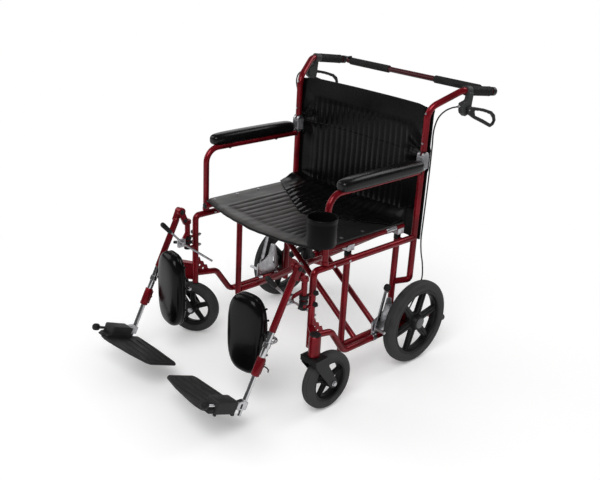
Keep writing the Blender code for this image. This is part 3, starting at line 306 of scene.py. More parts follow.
def eased(points, radius, steps=4):
    """A closed outline with arcs at its corners."""
    count = len(points)
    loop = []
    for index in range(count):
        corner = [Vector((*points[(index + shift) % count], 0)) for shift in (-1, 0, 1)]
        loop.extend((spot.x, spot.y) for spot in corners_rounded(corner, radius, steps)[1:-1])
    return loop


def placed(name, data, material, body, replaced):
    """A mesh as a piece of the chair, with the body it rides on and the nodes it replaces."""
    data.materials.clear()
    data.materials.append(material)
    piece = bpy.data.objects.new(name, data)
    scene.collection.objects.link(piece)
    if body:
        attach(piece, body)
    if replaced:
        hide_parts(*replaced)
    return piece


def finished(name, material, body, *replaced, sharp=38, slot=None):
    """Turn the mesh on the bench into a piece, and clear the bench."""
    bmesh.ops.remove_doubles(work, verts=work.verts, dist=1e-6)
    bmesh.ops.recalc_face_normals(work, faces=work.faces)
    data = bpy.data.meshes.new(name)
    work.to_mesh(data)
    work.clear()
    data.shade_smooth()
    if sharp:
        data.set_sharp_from_angle(angle=math.radians(sharp))
    return placed(name, data, material, body, replaced)


def sided(name, material, body, *replaced, **more):
    """A finished piece of the side in hand, whose word goes on all its names."""
    return finished(f"{name}_{word}", material, f"{body}_{word}", *(f"{node}_{word}" for node in replaced), **more)


# The surface group gives any finish its slow mottling, fine grain and the faint
# grime that handling leaves, from the piece's own coordinates.
surface = bpy.data.node_groups.new("handled_surface", "ShaderNodeTree")
for label, kind, direction, preset in (
        ("Colour", "Color", "INPUT", (0.5, 0.5, 0.5, 1)), ("Second", "Color", "INPUT", (0.4, 0.4, 0.4, 1)),
        ("Mottle Scale", "Float", "INPUT", 20.0), ("Grain Scale", "Float", "INPUT", 900.0),
        ("Rough Low", "Float", "INPUT", 0.3), ("Rough High", "Float", "INPUT", 0.5),
        ("Colour", "Color", "OUTPUT", None), ("Roughness", "Float", "OUTPUT", None),
        ("Height", "Float", "OUTPUT", None)):
    socket = surface.interface.new_socket(name=label, in_out=direction, socket_type="NodeSocket" + kind)
    if preset:
        socket.default_value = preset
surface.nodes.new("NodeGroupInput").name = "given"
surface.nodes.new("NodeGroupOutput").name = "result"
wired(surface,
      ("spot", "TexCoord", {}, {}),
      ("mottle", "TexNoise", {}, {"Detail": 4, "Vector": ("spot", "Object"), "Scale": ("given", "Mottle Scale")}),
      ("grain", "TexNoise", {}, {"Detail": 2, "Vector": ("spot", "Object"), "Scale": ("given", "Grain Scale")}),
      ("share", "MapRange", {}, {"Value": ("mottle", "Fac"), "From Min": 0.35, "From Max": 0.65}),
      ("tint", "Mix", {"data_type": "RGBA"},
       {"Factor": ("share", "Result"), "A": ("given", "Colour"), "B": ("given", "Second")}),
      ("shine", "MapRange", {}, {"Value": ("mottle", "Fac"), "From Min": 0.35, "From Max": 0.65,
                                 "To Min": ("given", "Rough Low"), "To Max": ("given", "Rough High")}),
      ("result", "", {}, {"Colour": ("tint", "Result"), "Roughness": ("shine", "Result"),
                          "Height": ("grain", "Fac")}))


def finish(name, slot, colour, second, rough, scales, bump, metallic=0.0, coat=0.0, depth=0.0004, gloss=0.5):
    """A Principled material whose colour, roughness and bump come from the surface group."""
    material = bpy.data.materials.new(name)
    material.use_nodes = True
    group = material.node_tree.nodes.new("ShaderNodeGroup")
    group.name = "handled_surface"
    group.node_tree = surface
    wired(material.node_tree,
          (group.name, "", {}, {"Colour": (*colour, 1), "Second": (*second, 1), "Mottle Scale": scales[0],
                                "Grain Scale": scales[1], "Rough Low": rough[0], "Rough High": rough[1]}),
          ("relief", "Bump", {}, {"Strength": bump, "Distance": depth, "Height": (group.name, "Height")}),
          ("Principled BSDF", "", {}, {"Metallic": metallic, "Coat Weight": coat, "Specular IOR Level": gloss,
                                       "Coat Roughness": 0.08, "Base Color": (group.name, "Colour"),
                                       "Roughness": (group.name, "Roughness"), "Normal": ("relief", "Normal")}))
    return material


red_paint = finish("red_metallic_paint", "frame_red", (0.23, 0.006, 0.013), (0.13, 0.004, 0.008), (0.22, 0.32),
                   (14, 1400), 0.1, metallic=0.45, coat=0.22, gloss=0.15)
zinc = finish("zinc_plated_steel", "silver_fittings", (0.66, 0.66, 0.68), (0.5, 0.5, 0.53), (0.25, 0.42), (60, 700),
              0.08, metallic=1.0)
black_cap = finish("black_moulded_cap", "black_plastic", (0.008, 0.008, 0.0085), (0.014, 0.014, 0.015), (0.38, 0.52),
                   (40, 1100), 0.25, gloss=0.22)
SADDLE = [(-0.0142, -0.0215), (0.0142, -0.0215), (0.0142, -0.0015), (0.0118, -0.0015),
          *arc(0.0118, -math.pi / 12, -math.pi * 11 / 12, 10), (-0.0118, -0.0015), (-0.0142, -0.0015)]
GUSSET = [(HOOP_Y, 0.302), (HOOP_Y, 0.228), (-0.41, 0.218), (-0.414, 0.236), (-0.424, 0.24), (-0.429, 0.256),
          (-0.441, 0.259), (-0.446, 0.274), (-0.457, 0.278), (-0.462, 0.294)]
WEB = [(-0.06, 0.122), (0.03, 0.122), (0.017, 0.16), (0.006, 0.17), (-0.01, 0.172), (-0.06, 0.225)]
VENTS = ((-0.462, 0.262), (-0.447, 0.246), (-0.43, 0.233))
TIP = (0.227, 0.078)
for word, s in SIDES:
    x = s * FRAME_X
    inner = s * POST_X
    bent([(x, HOOP_Y, 0.1995), (x, HOOP_Y, UPPER_RAIL_Z), (x, -0.001, UPPER_RAIL_Z)], 0.016, FRAME_TUBE, 24)
    bent([(x, HOOP_Y, 0.236), (x, -0.385, 0.22), (x, -0.318, LOWER_RAIL_Z), (x, 0.125, LOWER_RAIL_Z), (x, *TIP)],
         0.036, FRAME_TUBE, 24)
    bent([(inner, -0.056, 0.296), (x, 0, 0.3), (x, 0, 0.7205)], 0.013, FRAME_TUBE, 24)
    for y in POSTS_Y:
        upright(inner, y, 0.108, SEAT_RAIL_Z - 0.019, FRAME_TUBE, 24)
        for z in (UPPER_RAIL_Z, LOWER_RAIL_Z):
            run_tube([at(inner, y, z), at(x, y, z)], 0.008, 16)
    pivot = at(s * CASTER_X, CASTER_Y, 0)
    post = at(x, HOOP_Y, 0)
    along = (post - pivot).normalized()
    wide = Vector((-along.y, along.x, 0)) * 0.013
    for low, high, spread in ((0.212, 0.216, 1.0), (0.272, 0.276, 1.0), (0.2155, 0.2725, 0.25)):
        quad = [end + wide * spread * share for end, share in ((pivot, 1), (post, 0.8), (post, -0.8), (pivot, -1))]
        slab([corner.xy for corner in quad], low, high, Matrix(), 0.0005)
    upright(s * CASTER_X, CASTER_Y, 0.2073, 0.279, 0.019, 32, 0.0018)
    vents = [arc(0.0035, 0, math.tau * 0.9, 9, centre) for centre in VENTS]
    slab(eased(GUSSET, 0.003, 2), x - 0.0014, x + 0.0014, bevel=0.0004, holes=vents)
    slab(eased(WEB, 0.006, 3), s * 0.279, s * 0.2925)
    pins(s, (0, REAR_TYRE, 0.28, 0.3192, 0.0165, 28, 0.0012))
    for z in COLLARS_Z:
        block(at(s * LEG_X - 0.006, SWING_Y + 0.0115, z - 0.003), at(s * LEG_X + 0.006, HOOP_Y, z + 0.003))
    sided("side_frame_paint", red_paint, "frame", "side_frame")

    pins(s, (0, REAR_TYRE, FRAME_X, 0.361, 0.006, 20))
    for z in COLLARS_Z:
        bar(at(x, HOOP_Y + 0.01, z), at(x, HOOP_Y + 0.0185, z), 0.0065, 6, 0.0006)
        bar(at(x, HOOP_Y + 0.01, z), at(x, HOOP_Y + 0.024, z), 0.0036, 14)
    for y in (-0.4, -0.33):
        pins(s, (y, UPPER_RAIL_Z, FRAME_X - 0.0135, FRAME_X + 0.0125, 0.0042, 16, 0.0012))
    for y in POSTS_Y:
        slab(SADDLE, -0.015, 0.015,
             Matrix(((1, 0, 0, inner), (0, 0, -1, y + AXLE_Y), (0, 1, 0, SEAT_RAIL_Z), (0, 0, 0, 1))), 0.0005)
        pins(s, (y, SEAT_RAIL_Z - 0.04, POST_X, POST_X - 0.0125, 0.004, 16, 0.0012))
    sided("frame_bolts", zinc, "frame")

    end = at(x, *TIP)
    turned(end, (end - at(x, 0.125, LOWER_RAIL_Z)).normalized(),
           ((-0.034, 0.0119), (-0.033, 0.0128), (0.001, 0.0128), (0.004, 0.0112), (0.0055, 0.008)), 28)
    upright(s * CASTER_X, CASTER_Y, 0.2785, 0.2835, 0.0182, 32, 0.0016)
    upright(x, HOOP_Y, 0.1975, 0.2, 0.0105, 24, 0.0008)
    for y in POSTS_Y:
        upright(inner, y, SEAT_RAIL_Z - 0.042, SEAT_RAIL_Z - 0.0205, 0.0119, 28, 0.0008)
    turned_round([(-0.006, 0.0145), (0.006, 0.0145), (0.006, 0.0099), (-0.006, 0.0099)],
                 Matrix.Translation(at(s * LEG_X, SWING_Y, COLLARS_Z[0])) @ UP_TURN, 24, closed=True)
    upright(s * LEG_X, SWING_Y, COLLARS_Z[1] - 0.0032, COLLARS_Z[1] + 0.0032, 0.0125, 24)
    for z in COLLARS_Z:
        pins(s, (HOOP_Y, z + 0.008, FRAME_X + 0.009, FRAME_X + 0.02, 0.0082, 28, 0.002),
             (HOOP_Y, z + 0.008, FRAME_X + 0.019, FRAME_X + 0.024, 0.005, 20, 0.0014))
    sided("frame_caps", black_cap, "frame")


# Folding brace. Two scissor halves of round steel tube cross under the seat on one bolt.
# Each carries a seat rail on top, in the saddles of the far frame, and turns on the
# other frame's posts. Same red paint, zinc bolt, silver sleeves at the rails' rear ends.
BRACE_MIDDLE_Z = (LOWER_RAIL_Z + SEAT_RAIL_Z) / 2
for word, s, rows, body in (("left", 1, (-0.228, -0.112), "brace_a"), ("right", -1, (-0.1985, -0.1415), "brace_b")):
    foot = s * POST_X
    bar(at(-foot, -0.462, SEAT_RAIL_Z), at(-foot, -0.035, SEAT_RAIL_Z), FRAME_TUBE, 24)
    bar(at(foot, -0.2895, LOWER_RAIL_Z), at(foot, -0.0675, LOWER_RAIL_Z), FRAME_TUBE, 24)
    for y in rows:
        run_tube([at(foot, y, LOWER_RAIL_Z), at(-foot, y, SEAT_RAIL_Z)], 0.01, 24)
    finished("cross_brace_paint_" + word, red_paint, body, "cross_brace_" + word)
    rail = at(-foot, 0, SEAT_RAIL_Z)
    turned(rail, Y_AXIS, ((-0.0355, 0.0108), (-0.035, 0.0108), (-0.0338, 0.01), (-0.0325, 0.006)), 24)
    turned(rail, Y_AXIS, ((-0.4615, 0.0108), (-0.4625, 0.0108), (-0.464, 0.0098), (-0.4652, 0.006)), 24)
    finished("rail_plugs_" + word, black_cap, body)
    bar(at(-foot, -0.124, SEAT_RAIL_Z), at(-foot, -0.0735, SEAT_RAIL_Z), 0.0118, 28, 0.0006)
    finished("rail_sleeve_" + word, zinc, body)

for start, end, radius, sides, bevel in (
        (-0.2415, -0.0985, 0.004, 20, 0.0008), (-0.2445, -0.2386, 0.0075, 6, 0.0006),
        (-0.1014, -0.0955, 0.0075, 6, 0.0006), (-0.2384, -0.2372, 0.0085, 24, 0.0002),
        (-0.1034, -0.1022, 0.0085, 24, 0.0002)):
    bar(at(0, start, BRACE_MIDDLE_Z), at(0, end, BRACE_MIDDLE_Z), radius, sides, bevel)
finished("brace_bolt", zinc, "brace_a", "brace_pivot_bolt")


# Seat sling. One sheet of black vinyl on nylon, screwed along both seat rails, with
# sewn channels running fore and aft inside a plain border, a bound front edge and
# the shallow valley that use has given it. It hangs between the two brace rails.
SEAT_HALF = 0.284
SEAT_FLAT = 0.255
SEAT_FRONT_Y = -0.46
SEAT_DEPTH = 0.425
SEAT_SAG = 0.0125
SEAT_TOP_Z = SEAT_RAIL_Z + FRAME_TUBE + 0.0106
SEAT_CHANNEL = 0.03
SEAT_FIELD = 0.196
SCREWS_X = 0.262
SOFT_WALL = 0.006
VINYL_BLACK = (0.002, 0.002, 0.0021), (0.0042, 0.004, 0.0041)
# The seat's vinyl is coloured a lighter grey than the back's: painted sheen of the lamps on its upward face.
VINYL_PAINTED_SHEEN = (0.044, 0.0415, 0.04), (0.066, 0.063, 0.061)


def vinyl(name, rough, colours=VINYL_BLACK, gloss=0.22):
    """Embossed vinyl: a fine leather grain over slow mottling."""
    material = finish(name, "black_vinyl", *colours, rough, (9, 700), 0.35, depth=0.0003, gloss=gloss)
    wired(material.node_tree,
          ("spot", "TexCoord", {}, {}),
          ("cells", "TexVoronoi", {}, {"Scale": 620.0, "Vector": ("spot", "Object")}),
          ("emboss", "Bump", {}, {"Strength": 0.22, "Distance": 0.0003, "Height": ("cells", "Distance"),
                                  "Normal": ("relief", "Normal")}),
          ("Principled BSDF", "", {}, {"Normal": ("emboss", "Normal")}))
    return material


def smooth_step(low, high, value):
    share = max(0.0, min(1.0, (value - low) / (high - low)))
    return share * share * (3 - 2 * share)


def hump(share):
    return math.sin(math.pi * min(max(share, 0), 1))


def rumple(*place):
    return noise.noise(Vector(place))


def channel_relief(distance, width, depth):
    """Height of a stuffed channel at a distance across it: round between two stitch lines."""
    share = abs((distance / width) % 1.0 - 0.5) * 2
    return depth * (1 - share ** 3)


def panel(name, cells, surface, thickness, material, body, *replaced):
    """A grid laid on a surface rule, given a wall and a rolled edge."""
    made = bmesh.ops.create_grid(work, x_segments=cells[0], y_segments=cells[1], size=1.0)["verts"]
    for vertex in made:
        vertex.co = surface(vertex.co.x, vertex.co.y)
    bmesh.ops.recalc_face_normals(work, faces=work.faces)
    data = bpy.data.meshes.new(name + "_sheet")
    work.to_mesh(data)
    work.clear()
    sheet = bpy.data.objects.new(name + "_sheet", data)
    scene.collection.objects.link(sheet)
    wall = sheet.modifiers.new("wall", "SOLIDIFY")
    wall.thickness = thickness
    wall.offset = 0.0
    roll = sheet.modifiers.new("roll", "BEVEL")
    roll.width = thickness * 0.45
    roll.segments = 3
    roll.angle_limit = math.radians(60)
    bpy.context.view_layer.update()
    made = bpy.data.meshes.new_from_object(sheet.evaluated_get(bpy.context.evaluated_depsgraph_get()))
    bpy.data.objects.remove(sheet)
    made.name = name
    made.shade_smooth()
    return placed(name, made, material, body, replaced)


def sling_field(x, y):
    """One inside the quilted part of the seat, none on its plain border."""
    return (smooth_step(SEAT_FIELD + 0.01, SEAT_FIELD - 0.006, abs(x))
            * smooth_step(0.035, 0.055, y - AXLE_Y - SEAT_FRONT_Y))


def sling_height(x, y):
    """Middle of the sling's thickness above the floor."""
    share = min(abs(x) / SEAT_FLAT, 1.0)
    sag = SEAT_SAG * (1 - share ** 1.7) * (0.8 + 0.35 * hump((y - AXLE_Y - SEAT_FRONT_Y) / SEAT_DEPTH))
    relief = channel_relief(x, SEAT_CHANNEL, 0.0046) * sling_field(x, y)
    crease = 0.0018 * rumple(x * 16, y * 9, 0.3) + 0.001 * rumple(x * 40, y * 22, 4.1)
    return SEAT_TOP_Z - 0.0046 - sag + relief + crease * smooth_step(0.272, 0.22, abs(x))


def sling_point(u, v):
    x = u * SEAT_HALF
    front = -0.4435 - 0.036 * (1 - u * u) + 0.0015 * rumple(x * 30, 0, 0)
    place = at(x, front + (-0.0395 - front) * (v + 1) / 2, 0)
    place.z = (sling_height(x, place.y) - 0.004 * smooth_step(-0.93, -1.0, v)
               - 0.001 * smooth_step(0.264, 0.284, abs(x)))
    return place


seat_vinyl = vinyl("seat_vinyl", (0.36, 0.5), VINYL_PAINTED_SHEEN, 0.45)
# Painted shade: the seat's colour is mixed towards near black by a point attribute, along the stitch lines between
# the channels and over the near, rear part of the seat.
wired(seat_vinyl.node_tree,
      ("painted_shade_read", "Attribute", {"attribute_name": "painted_shade"}, {}),
      ("painted_shade_mix", "Mix", {"data_type": "RGBA"}, {"B": (0.006, 0.0056, 0.0054, 1), "Factor": ("painted_shade_read", "Fac"),
                                              "A": ("handled_surface", "Colour")}),
      ("Principled BSDF", "", {}, {"Base Color": ("painted_shade_mix", "Result")}))
seat_cover = panel("seat_cover", (150, 70), sling_point, SOFT_WALL, seat_vinyl, None, "seat_sling")
painted_shade = seat_cover.data.attributes.new("painted_shade", "FLOAT", "POINT")
for vertex, value in zip(seat_cover.data.vertices, painted_shade.data):
    x, y = vertex.co.x, vertex.co.y
    # Painted shade over the near, rear part of the seat, and painted shade in the stitch lines between the channels.
    shade = smooth_step(0.000, 0.14, x) * smooth_step(-0.48, -0.4, y - AXLE_Y)
    stitch = (1 - channel_relief(x, SEAT_CHANNEL, 1.0)) ** 3.0 * sling_field(x, y)
    value.value = max(0.8 * stitch, 0.85 * shade)
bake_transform(seat_cover)

hem = [sling_point(-1 + 2 * step / 60, -0.985) + Vector((0, -0.0035, 0.0002)) for step in range(61)]
run_tube(hem, [0.003] + [0.004] * 59 + [0.003], 12)
binding = finished("seat_front_binding", vinyl("binding_vinyl", (0.42, 0.55)), None)
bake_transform(binding)

for word, s, body in (("left", 1, "brace_b"), ("right", -1, "brace_a")):
    for y in (-0.428, -0.325, -0.225, -0.108):
        base = at(s * SCREWS_X, y, sling_height(s * SCREWS_X, y + AXLE_Y) + 0.0026)
        turned(base, Z_AXIS, ((0.0, 0.0062), (0.0008, 0.0062), (0.0018, 0.0048), (0.0023, 0.002)), 20)
    finished("seat_screws_" + word, zinc, body)


# Back. The same vinyl behind the canes, sewn into upright channels below a plain
# top band. It is made in two panels that meet at the hinge, so that the upper one
# drops with the canes; the real one is a single sleeve that creases there.
BACK_HALF = 0.315
BACK_FOOT_Z = 0.449
BACK_TALL = 0.463
BACK_BELLY = 0.019
PULL_X = 0.3
PULL_Z = 0.752
BACK_CHANNEL = 0.0255
back_vinyl = vinyl("back_vinyl", (0.2, 0.3), gloss=0.13)


def back_point(x, z):
    """Middle of the back's thickness, bellied backwards between the canes."""
    side = abs(x)
    belly = BACK_BELLY * (1 - min(side / 0.285, 1.0) ** 2.2) * (0.75 + 0.35 * hump((z - BACK_FOOT_Z) / BACK_TALL))
    field = smooth_step(0.246, 0.228, side) * smooth_step(0.85, 0.826, z) * smooth_step(0.462, 0.475, z)
    relief = channel_relief(x, BACK_CHANNEL, 0.0034) * field
    pull = smooth_step(0.2, 0.29, side) * math.exp(-((z - 0.775) / 0.075) ** 2)
    crease = 0.002 * rumple(x * 7, z * 13, 1.7) + 0.003 * pull * rumple(x * 34 + z * 40, z * 12, 0.9)
    reach = math.hypot(PULL_X - side, z - PULL_Z)
    turn = math.atan2(z - PULL_Z, PULL_X - side)
    rays = 0.0042 * math.exp(-((reach - 0.05) / 0.045) ** 2) * math.sin(turn * 6.5 + 1.1 * rumple(x * 9, z * 9, 5))
    crease += rays * smooth_step(0.006, 0.03, reach)
    clamp = 0.0046 * smooth_step(0.276, 0.284, side) * smooth_step(0.69, 0.7, z) * smooth_step(0.778, 0.766, z)
    bend = 0.004 * smooth_step(0.272, 0.286, side) * smooth_step(0.88, 0.908, z)
    return at(x, 0.0149 + belly - relief + crease * smooth_step(0.3, 0.255, side) + clamp + bend, z)


def back_rows(low, high):
    def surface(u, v):
        z = low + (high - low) * (v + 1) / 2
        top_dip = 0.01 * smooth_step(0.24, 0.315, abs(u) * BACK_HALF) * smooth_step(0.85, 0.912, z)
        return back_point(u * BACK_HALF, z - top_dip)
    return surface


for name, rows, levels, body, node in (("back_cover_upper", 40, (0.7472, 0.911), "cane_left", "back_upper"),
                                       ("back_cover_lower", 70, (0.45, 0.7492), "frame_left", "back_lower")):
    cover = panel(name, (126, rows), back_rows(*levels), SOFT_WALL, back_vinyl, body, node)
    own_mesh(cover)


# Back flap. The back's cover runs on below the panel as a loose apron that lies on the
# rear of the seat, sewn to a blunt point in the middle, with a soft roll where it turns
# down and a wing that rises to each post. It is shaped in code and left unsewn below.
def flap_point(u, v):
    x = u * SEAT_HALF
    front = -0.27 + 0.585 * math.sqrt((x - 0.012) ** 2 + 0.022 ** 2)
    y = front + (0.0035 - front) * (v + 1) / 2
    along = y - front
    place = at(x, y, 0)
    ribs = (channel_relief(x + 0.3 * y, 0.031, 0.0024) * smooth_step(0.01, 0.03, along)
            * smooth_step(0.2, 0.15, abs(x)))
    crumple = 0.0026 * rumple(x * 15, y * 22, 7.3) + 0.0016 * rumple(x * 42, y * 48, 2.2) + 0.0022
    tall = 0.009 + 0.015 * smooth_step(0.02, 0.25, x) + 0.004 * smooth_step(0.12, 0.25, -x)
    roll = tall * math.exp(-((y + 0.034 + 0.01 * rumple(x * 6, 0.4, 0.4)) / 0.026) ** 2)
    wing = (0.028 if x > 0 else 0.01) * smooth_step(0.225, 0.284, abs(x)) * smooth_step(-0.062, 0.002, y)
    place.z = (sling_height(x, place.y) + 0.0062 + 0.0022 * smooth_step(0.0, 0.02, along) + ribs
               + crumple * smooth_step(0.004, 0.028, along) + roll + wing + 0.008 * smooth_step(-0.02, 0.0035, y))
    return place


flap = panel("back_flap", (120, 56), flap_point, 0.0036, back_vinyl, None)
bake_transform(flap)


# Push canes. Each is one red tube that bends back into a handle, with a flat tongue
# welded into its foot for the folding hinge. A black ring with two lugs carries the
# stabiliser bar near the left grip, and a ring with a hooked tab on the right.
HANDLE_X = 0.351
HANDLE_Y = 0.105
HANDLE_Z = 0.963
HANDLE_SLOPE = (0.941 - 0.963) / (0.288 - 0.105)
BAR_Y = 0.278
BAR_PIN_X = 0.322


def handle_height(y):
    return HANDLE_Z + (y - HANDLE_Y) * HANDLE_SLOPE


def on_handle(s, y):
    return at(s * HANDLE_X, y, handle_height(y))


def box(low_y, high_y, low_z, high_z):
    return [(low_y, low_z), (high_y, low_z), (high_y, high_z), (low_y, high_z)]


BAR_Z = handle_height(BAR_Y)
black_moulding = finish("black_moulding", "black_plastic", (0.01, 0.01, 0.011), (0.018, 0.018, 0.019), (0.36, 0.52),
                        (14, 900), 0.25, depth=0.0002, gloss=0.22)
for word, s in SIDES:
    x = s * FRAME_X
    bent([(x, 0, 0.765), (x, 0, 0.905), (s * HANDLE_X, HANDLE_Y, HANDLE_Z),
          (s * HANDLE_X, 0.2865, handle_height(0.2865))], 0.052, FRAME_TUBE, 28, 12)
    block(at(x - 0.0029, -0.0078, 0.7395), at(x + 0.0029, 0.0078, 0.7665), 0.0009)
    sided("push_cane_paint", red_paint, "cane", "push_cane")
    run_tube([on_handle(s, y) for y in (0.2835, 0.288, 0.2895, 0.2902)], [0.0104, 0.0108, 0.0098, 0.006], 24)
    bar(on_handle(s, 0.269), on_handle(s, 0.2868), 0.015, 32, 0.0014)
    if s > 0:
        for near, far in ((0.2637, 0.2684), (0.2876, 0.2919)):
            slab(box(near, far, BAR_Z - 0.0085, BAR_Z + 0.0085), 0.3145, 0.35, bevel=0.0012)
    else:
        block(at(-0.35, 0.2695, BAR_Z + 0.0104), at(-0.3105, 0.2865, BAR_Z + 0.0142))
        block(at(-0.3165, 0.2695, BAR_Z + 0.012), at(-0.311, 0.2865, BAR_Z + 0.0182))
    sided("bar_bracket", black_moulding, "cane")
    for z, face in ((0.7905, -0.0111), (0.89, -0.0108)):
        turned(at(x, face, z), -Y_AXIS,
               ((-0.001, 0.0036), (0.0004, 0.0036), (0.0016, 0.0028), (0.0022, 0.001)), 16)
    if s > 0:
        for start, end, *rest in ((0.2622, 0.2938, 0.003, 16, 0.0004), (0.2598, 0.2636, 0.005, 6, 0.0006),
                                  (0.292, 0.2952, 0.005, 6, 0.0006)):
            bar(at(BAR_PIN_X, start, BAR_Z), at(BAR_PIN_X, end, BAR_Z), *rest)
    sided("cane_rivets", zinc, "cane")


# Back hinge clamps. Each is a cast aluminium collar on the side frame's rear post,
# fluted outside, with two cheeks that hold the cane's tongue on a pin and a spring
# button at the front, which lets the cane fold back.
HINGE_Z = 0.748
HINGE_HALF = 0.0142
CHEEK = [(-0.0152, 0.704), (0.0152, 0.704), *arc(0.0152, 0, math.pi, 14, (0, HINGE_Z))]
cast_silver = finish("cast_silver", "silver_fittings", (0.56, 0.56, 0.58), (0.44, 0.44, 0.46), (0.26, 0.42),
                     (22, 500), 0.3, metallic=1.0, depth=0.0002)
for word, s in SIDES:
    x = s * FRAME_X
    slab(CHEEK, x + 0.0036, x + HINGE_HALF, bevel=0.0012)
    slab(CHEEK, x - HINGE_HALF, x - 0.0036, bevel=0.0012)
    for filler in (box(-0.015, 0.015, 0.7045, 0.734),
                   [(-0.015, 0.73), (-0.009, 0.73), (-0.009, 0.748), (-0.015, 0.75)]):
        slab(filler, x - 0.004, x + 0.004, bevel=0.0004)
    for step in range(7):
        along = -0.012 + 0.004 * step
        upright(x + along, -0.015, 0.709, 0.745, 0.0013, 8, 0.0005)
        for face in (x - HINGE_HALF, x + HINGE_HALF):
            upright(face, along, 0.709, 0.75, 0.0012, 8, 0.0005)
    bar(at(x - HINGE_HALF - 0.0022, 0, HINGE_Z), at(x + HINGE_HALF + 0.0022, 0, HINGE_Z), 0.003, 16, 0.0006)
    upright(x, 0, 0.7005, 0.705, 0.0142, 32)
    sided("back_clamp", cast_silver, "frame", "back_hinge")
    turned(at(x - s * 0.004, -0.015, 0.7125), -Y_AXIS,
           ((-0.001, 0.0052), (0.002, 0.0052), (0.0036, 0.0042), (0.0044, 0.002)), 20)
    turned(at(x, -0.0105, 0.688), -Y_AXIS, ((0.0, 0.0036), (0.0012, 0.0034), (0.002, 0.0012)), 16)
    sided("clamp_button", zinc, "frame")


# Hand grips. Ribbed black rubber sleeves pushed on the handles, closed by a rounded
# rear rim. The ribs are turned rings, 7 mm apart.
grip_rubber = finish("grip_rubber", "grip_rubber", (0.008, 0.008, 0.008), (0.016, 0.016, 0.016), (0.58, 0.78),
                     (30, 1400), 0.5, depth=0.0002, gloss=0.25)
ribs = [(0.148, 0.0124), (0.1486, 0.0166), (0.153, 0.0166)]
for step in range(13):
    start = 0.1545 + 0.0074 * step
    ribs += [(start, 0.015), (start + 0.0012, 0.0163), (start + 0.005, 0.0163), (start + 0.0062, 0.015)]
ribs += [(0.252, 0.0166), (0.257, 0.0168), (0.2592, 0.0158), (0.2598, 0.0122)]
for word, s in SIDES:
    run_tube([on_handle(s, y) for y, _ in ribs], [radius for _, radius in ribs], 32)
    sided("hand_grip_ribs", grip_rubber, "cane", "hand_grip")


# Stabiliser bar. A red tube across the two handles, which turns on a pin at the left
# and drops over the tab at the right, with two foam sleeves beside a bare middle.
bar_foam = finish("bar_foam", "bar_foam", (0.012, 0.012, 0.012), (0.024, 0.024, 0.023), (0.72, 0.9), (40, 1700), 0.7,
                  depth=0.0004, gloss=0.2)
dark_red_paint = finish("dark_red_paint", "frame_red", (0.06, 0.004, 0.007), (0.045, 0.003, 0.006), (0.3, 0.42),
                        (12, 800), 0.15, coat=0.2, depth=0.0002, gloss=0.22)
run_tube([at(0.3075, BAR_Y, BAR_Z), at(-0.324, BAR_Y, BAR_Z)], 0.01, 28)
bar(at(BAR_PIN_X, 0.2694, BAR_Z), at(BAR_PIN_X, 0.2866, BAR_Z), 0.008, 24)
bar(at(0.318, BAR_Y, BAR_Z), at(0.305, BAR_Y, BAR_Z), 0.007, 20, 0.0006)
finished("stabiliser_paint", dark_red_paint, "stabiliser", "stabiliser_bar")
for word, start, end in (("left", 0.3008, 0.1082), ("right", -0.1082, -0.3073)):
    turned(at(0, BAR_Y, BAR_Z), X_AXIS, ((start, 0.0106), (start - 0.0006, 0.013), (start - 0.0025, 0.0138),
                                         (end + 0.0025, 0.0138), (end + 0.0006, 0.013), (end, 0.0106)), 32)
    finished("foam_sleeve_" + word, bar_foam, "stabiliser", "bar_foam_" + word)
turned(at(0, BAR_Y, BAR_Z), X_AXIS, ((-0.3215, 0.0096), (-0.3245, 0.0098), (-0.3252, 0.0086), (-0.3256, 0.005)), 24)
finished("stabiliser_cap", black_moulding, "stabiliser")


# Brake levers. A dark moulded housing hangs from a band on each handle and holds a
# looped lever on a pin, with finger scallops inside the loop. The spring behind it
# isn't seen. The housing also holds the cable's silver ferrule at its front.
CASE = [(0.119, 0.958), (0.145, 0.955), (0.1425, 0.928), (0.1398, 0.9), (0.136, 0.886), (0.111, 0.88),
        (0.093, 0.892), (0.089, 0.903), (0.0892, 0.922), (0.096, 0.927), (0.113, 0.93), (0.1185, 0.938)]
CASE_NECK = [(0.0905, 0.924), (0.124, 0.932), (0.1225, 0.893), (0.111, 0.886), (0.0935, 0.898)]
LOOP = [(0.107, 0.9105), (0.1281, 0.9123), (0.1533, 0.9072), (0.2031, 0.8969), (0.2523, 0.8822), (0.2741, 0.8671),
        (0.2823, 0.8479), (0.2738, 0.8322), (0.2541, 0.8261), (0.206, 0.8467), (0.153, 0.8683), (0.1125, 0.8893)]
lever_grey = finish("lever_grey", "black_plastic", (0.028, 0.029, 0.03), (0.04, 0.041, 0.042), (0.48, 0.62),
                    (18, 1100), 0.35, depth=0.0002, gloss=0.3)
gap = [(0.15, 0.8935)]
for step in range(25):
    share = step / 24
    scallop = 0.0015 * abs(math.sin(share * math.pi * 4))
    gap.append((0.156 + 0.092 * share, 0.8965 - 0.0125 * share - 0.012 * share ** 2 - scallop))
gap += [(0.266, 0.856), (0.27, 0.8465), (0.264, 0.8395), (0.254, 0.8385), (0.207, 0.8595), (0.156, 0.879)]
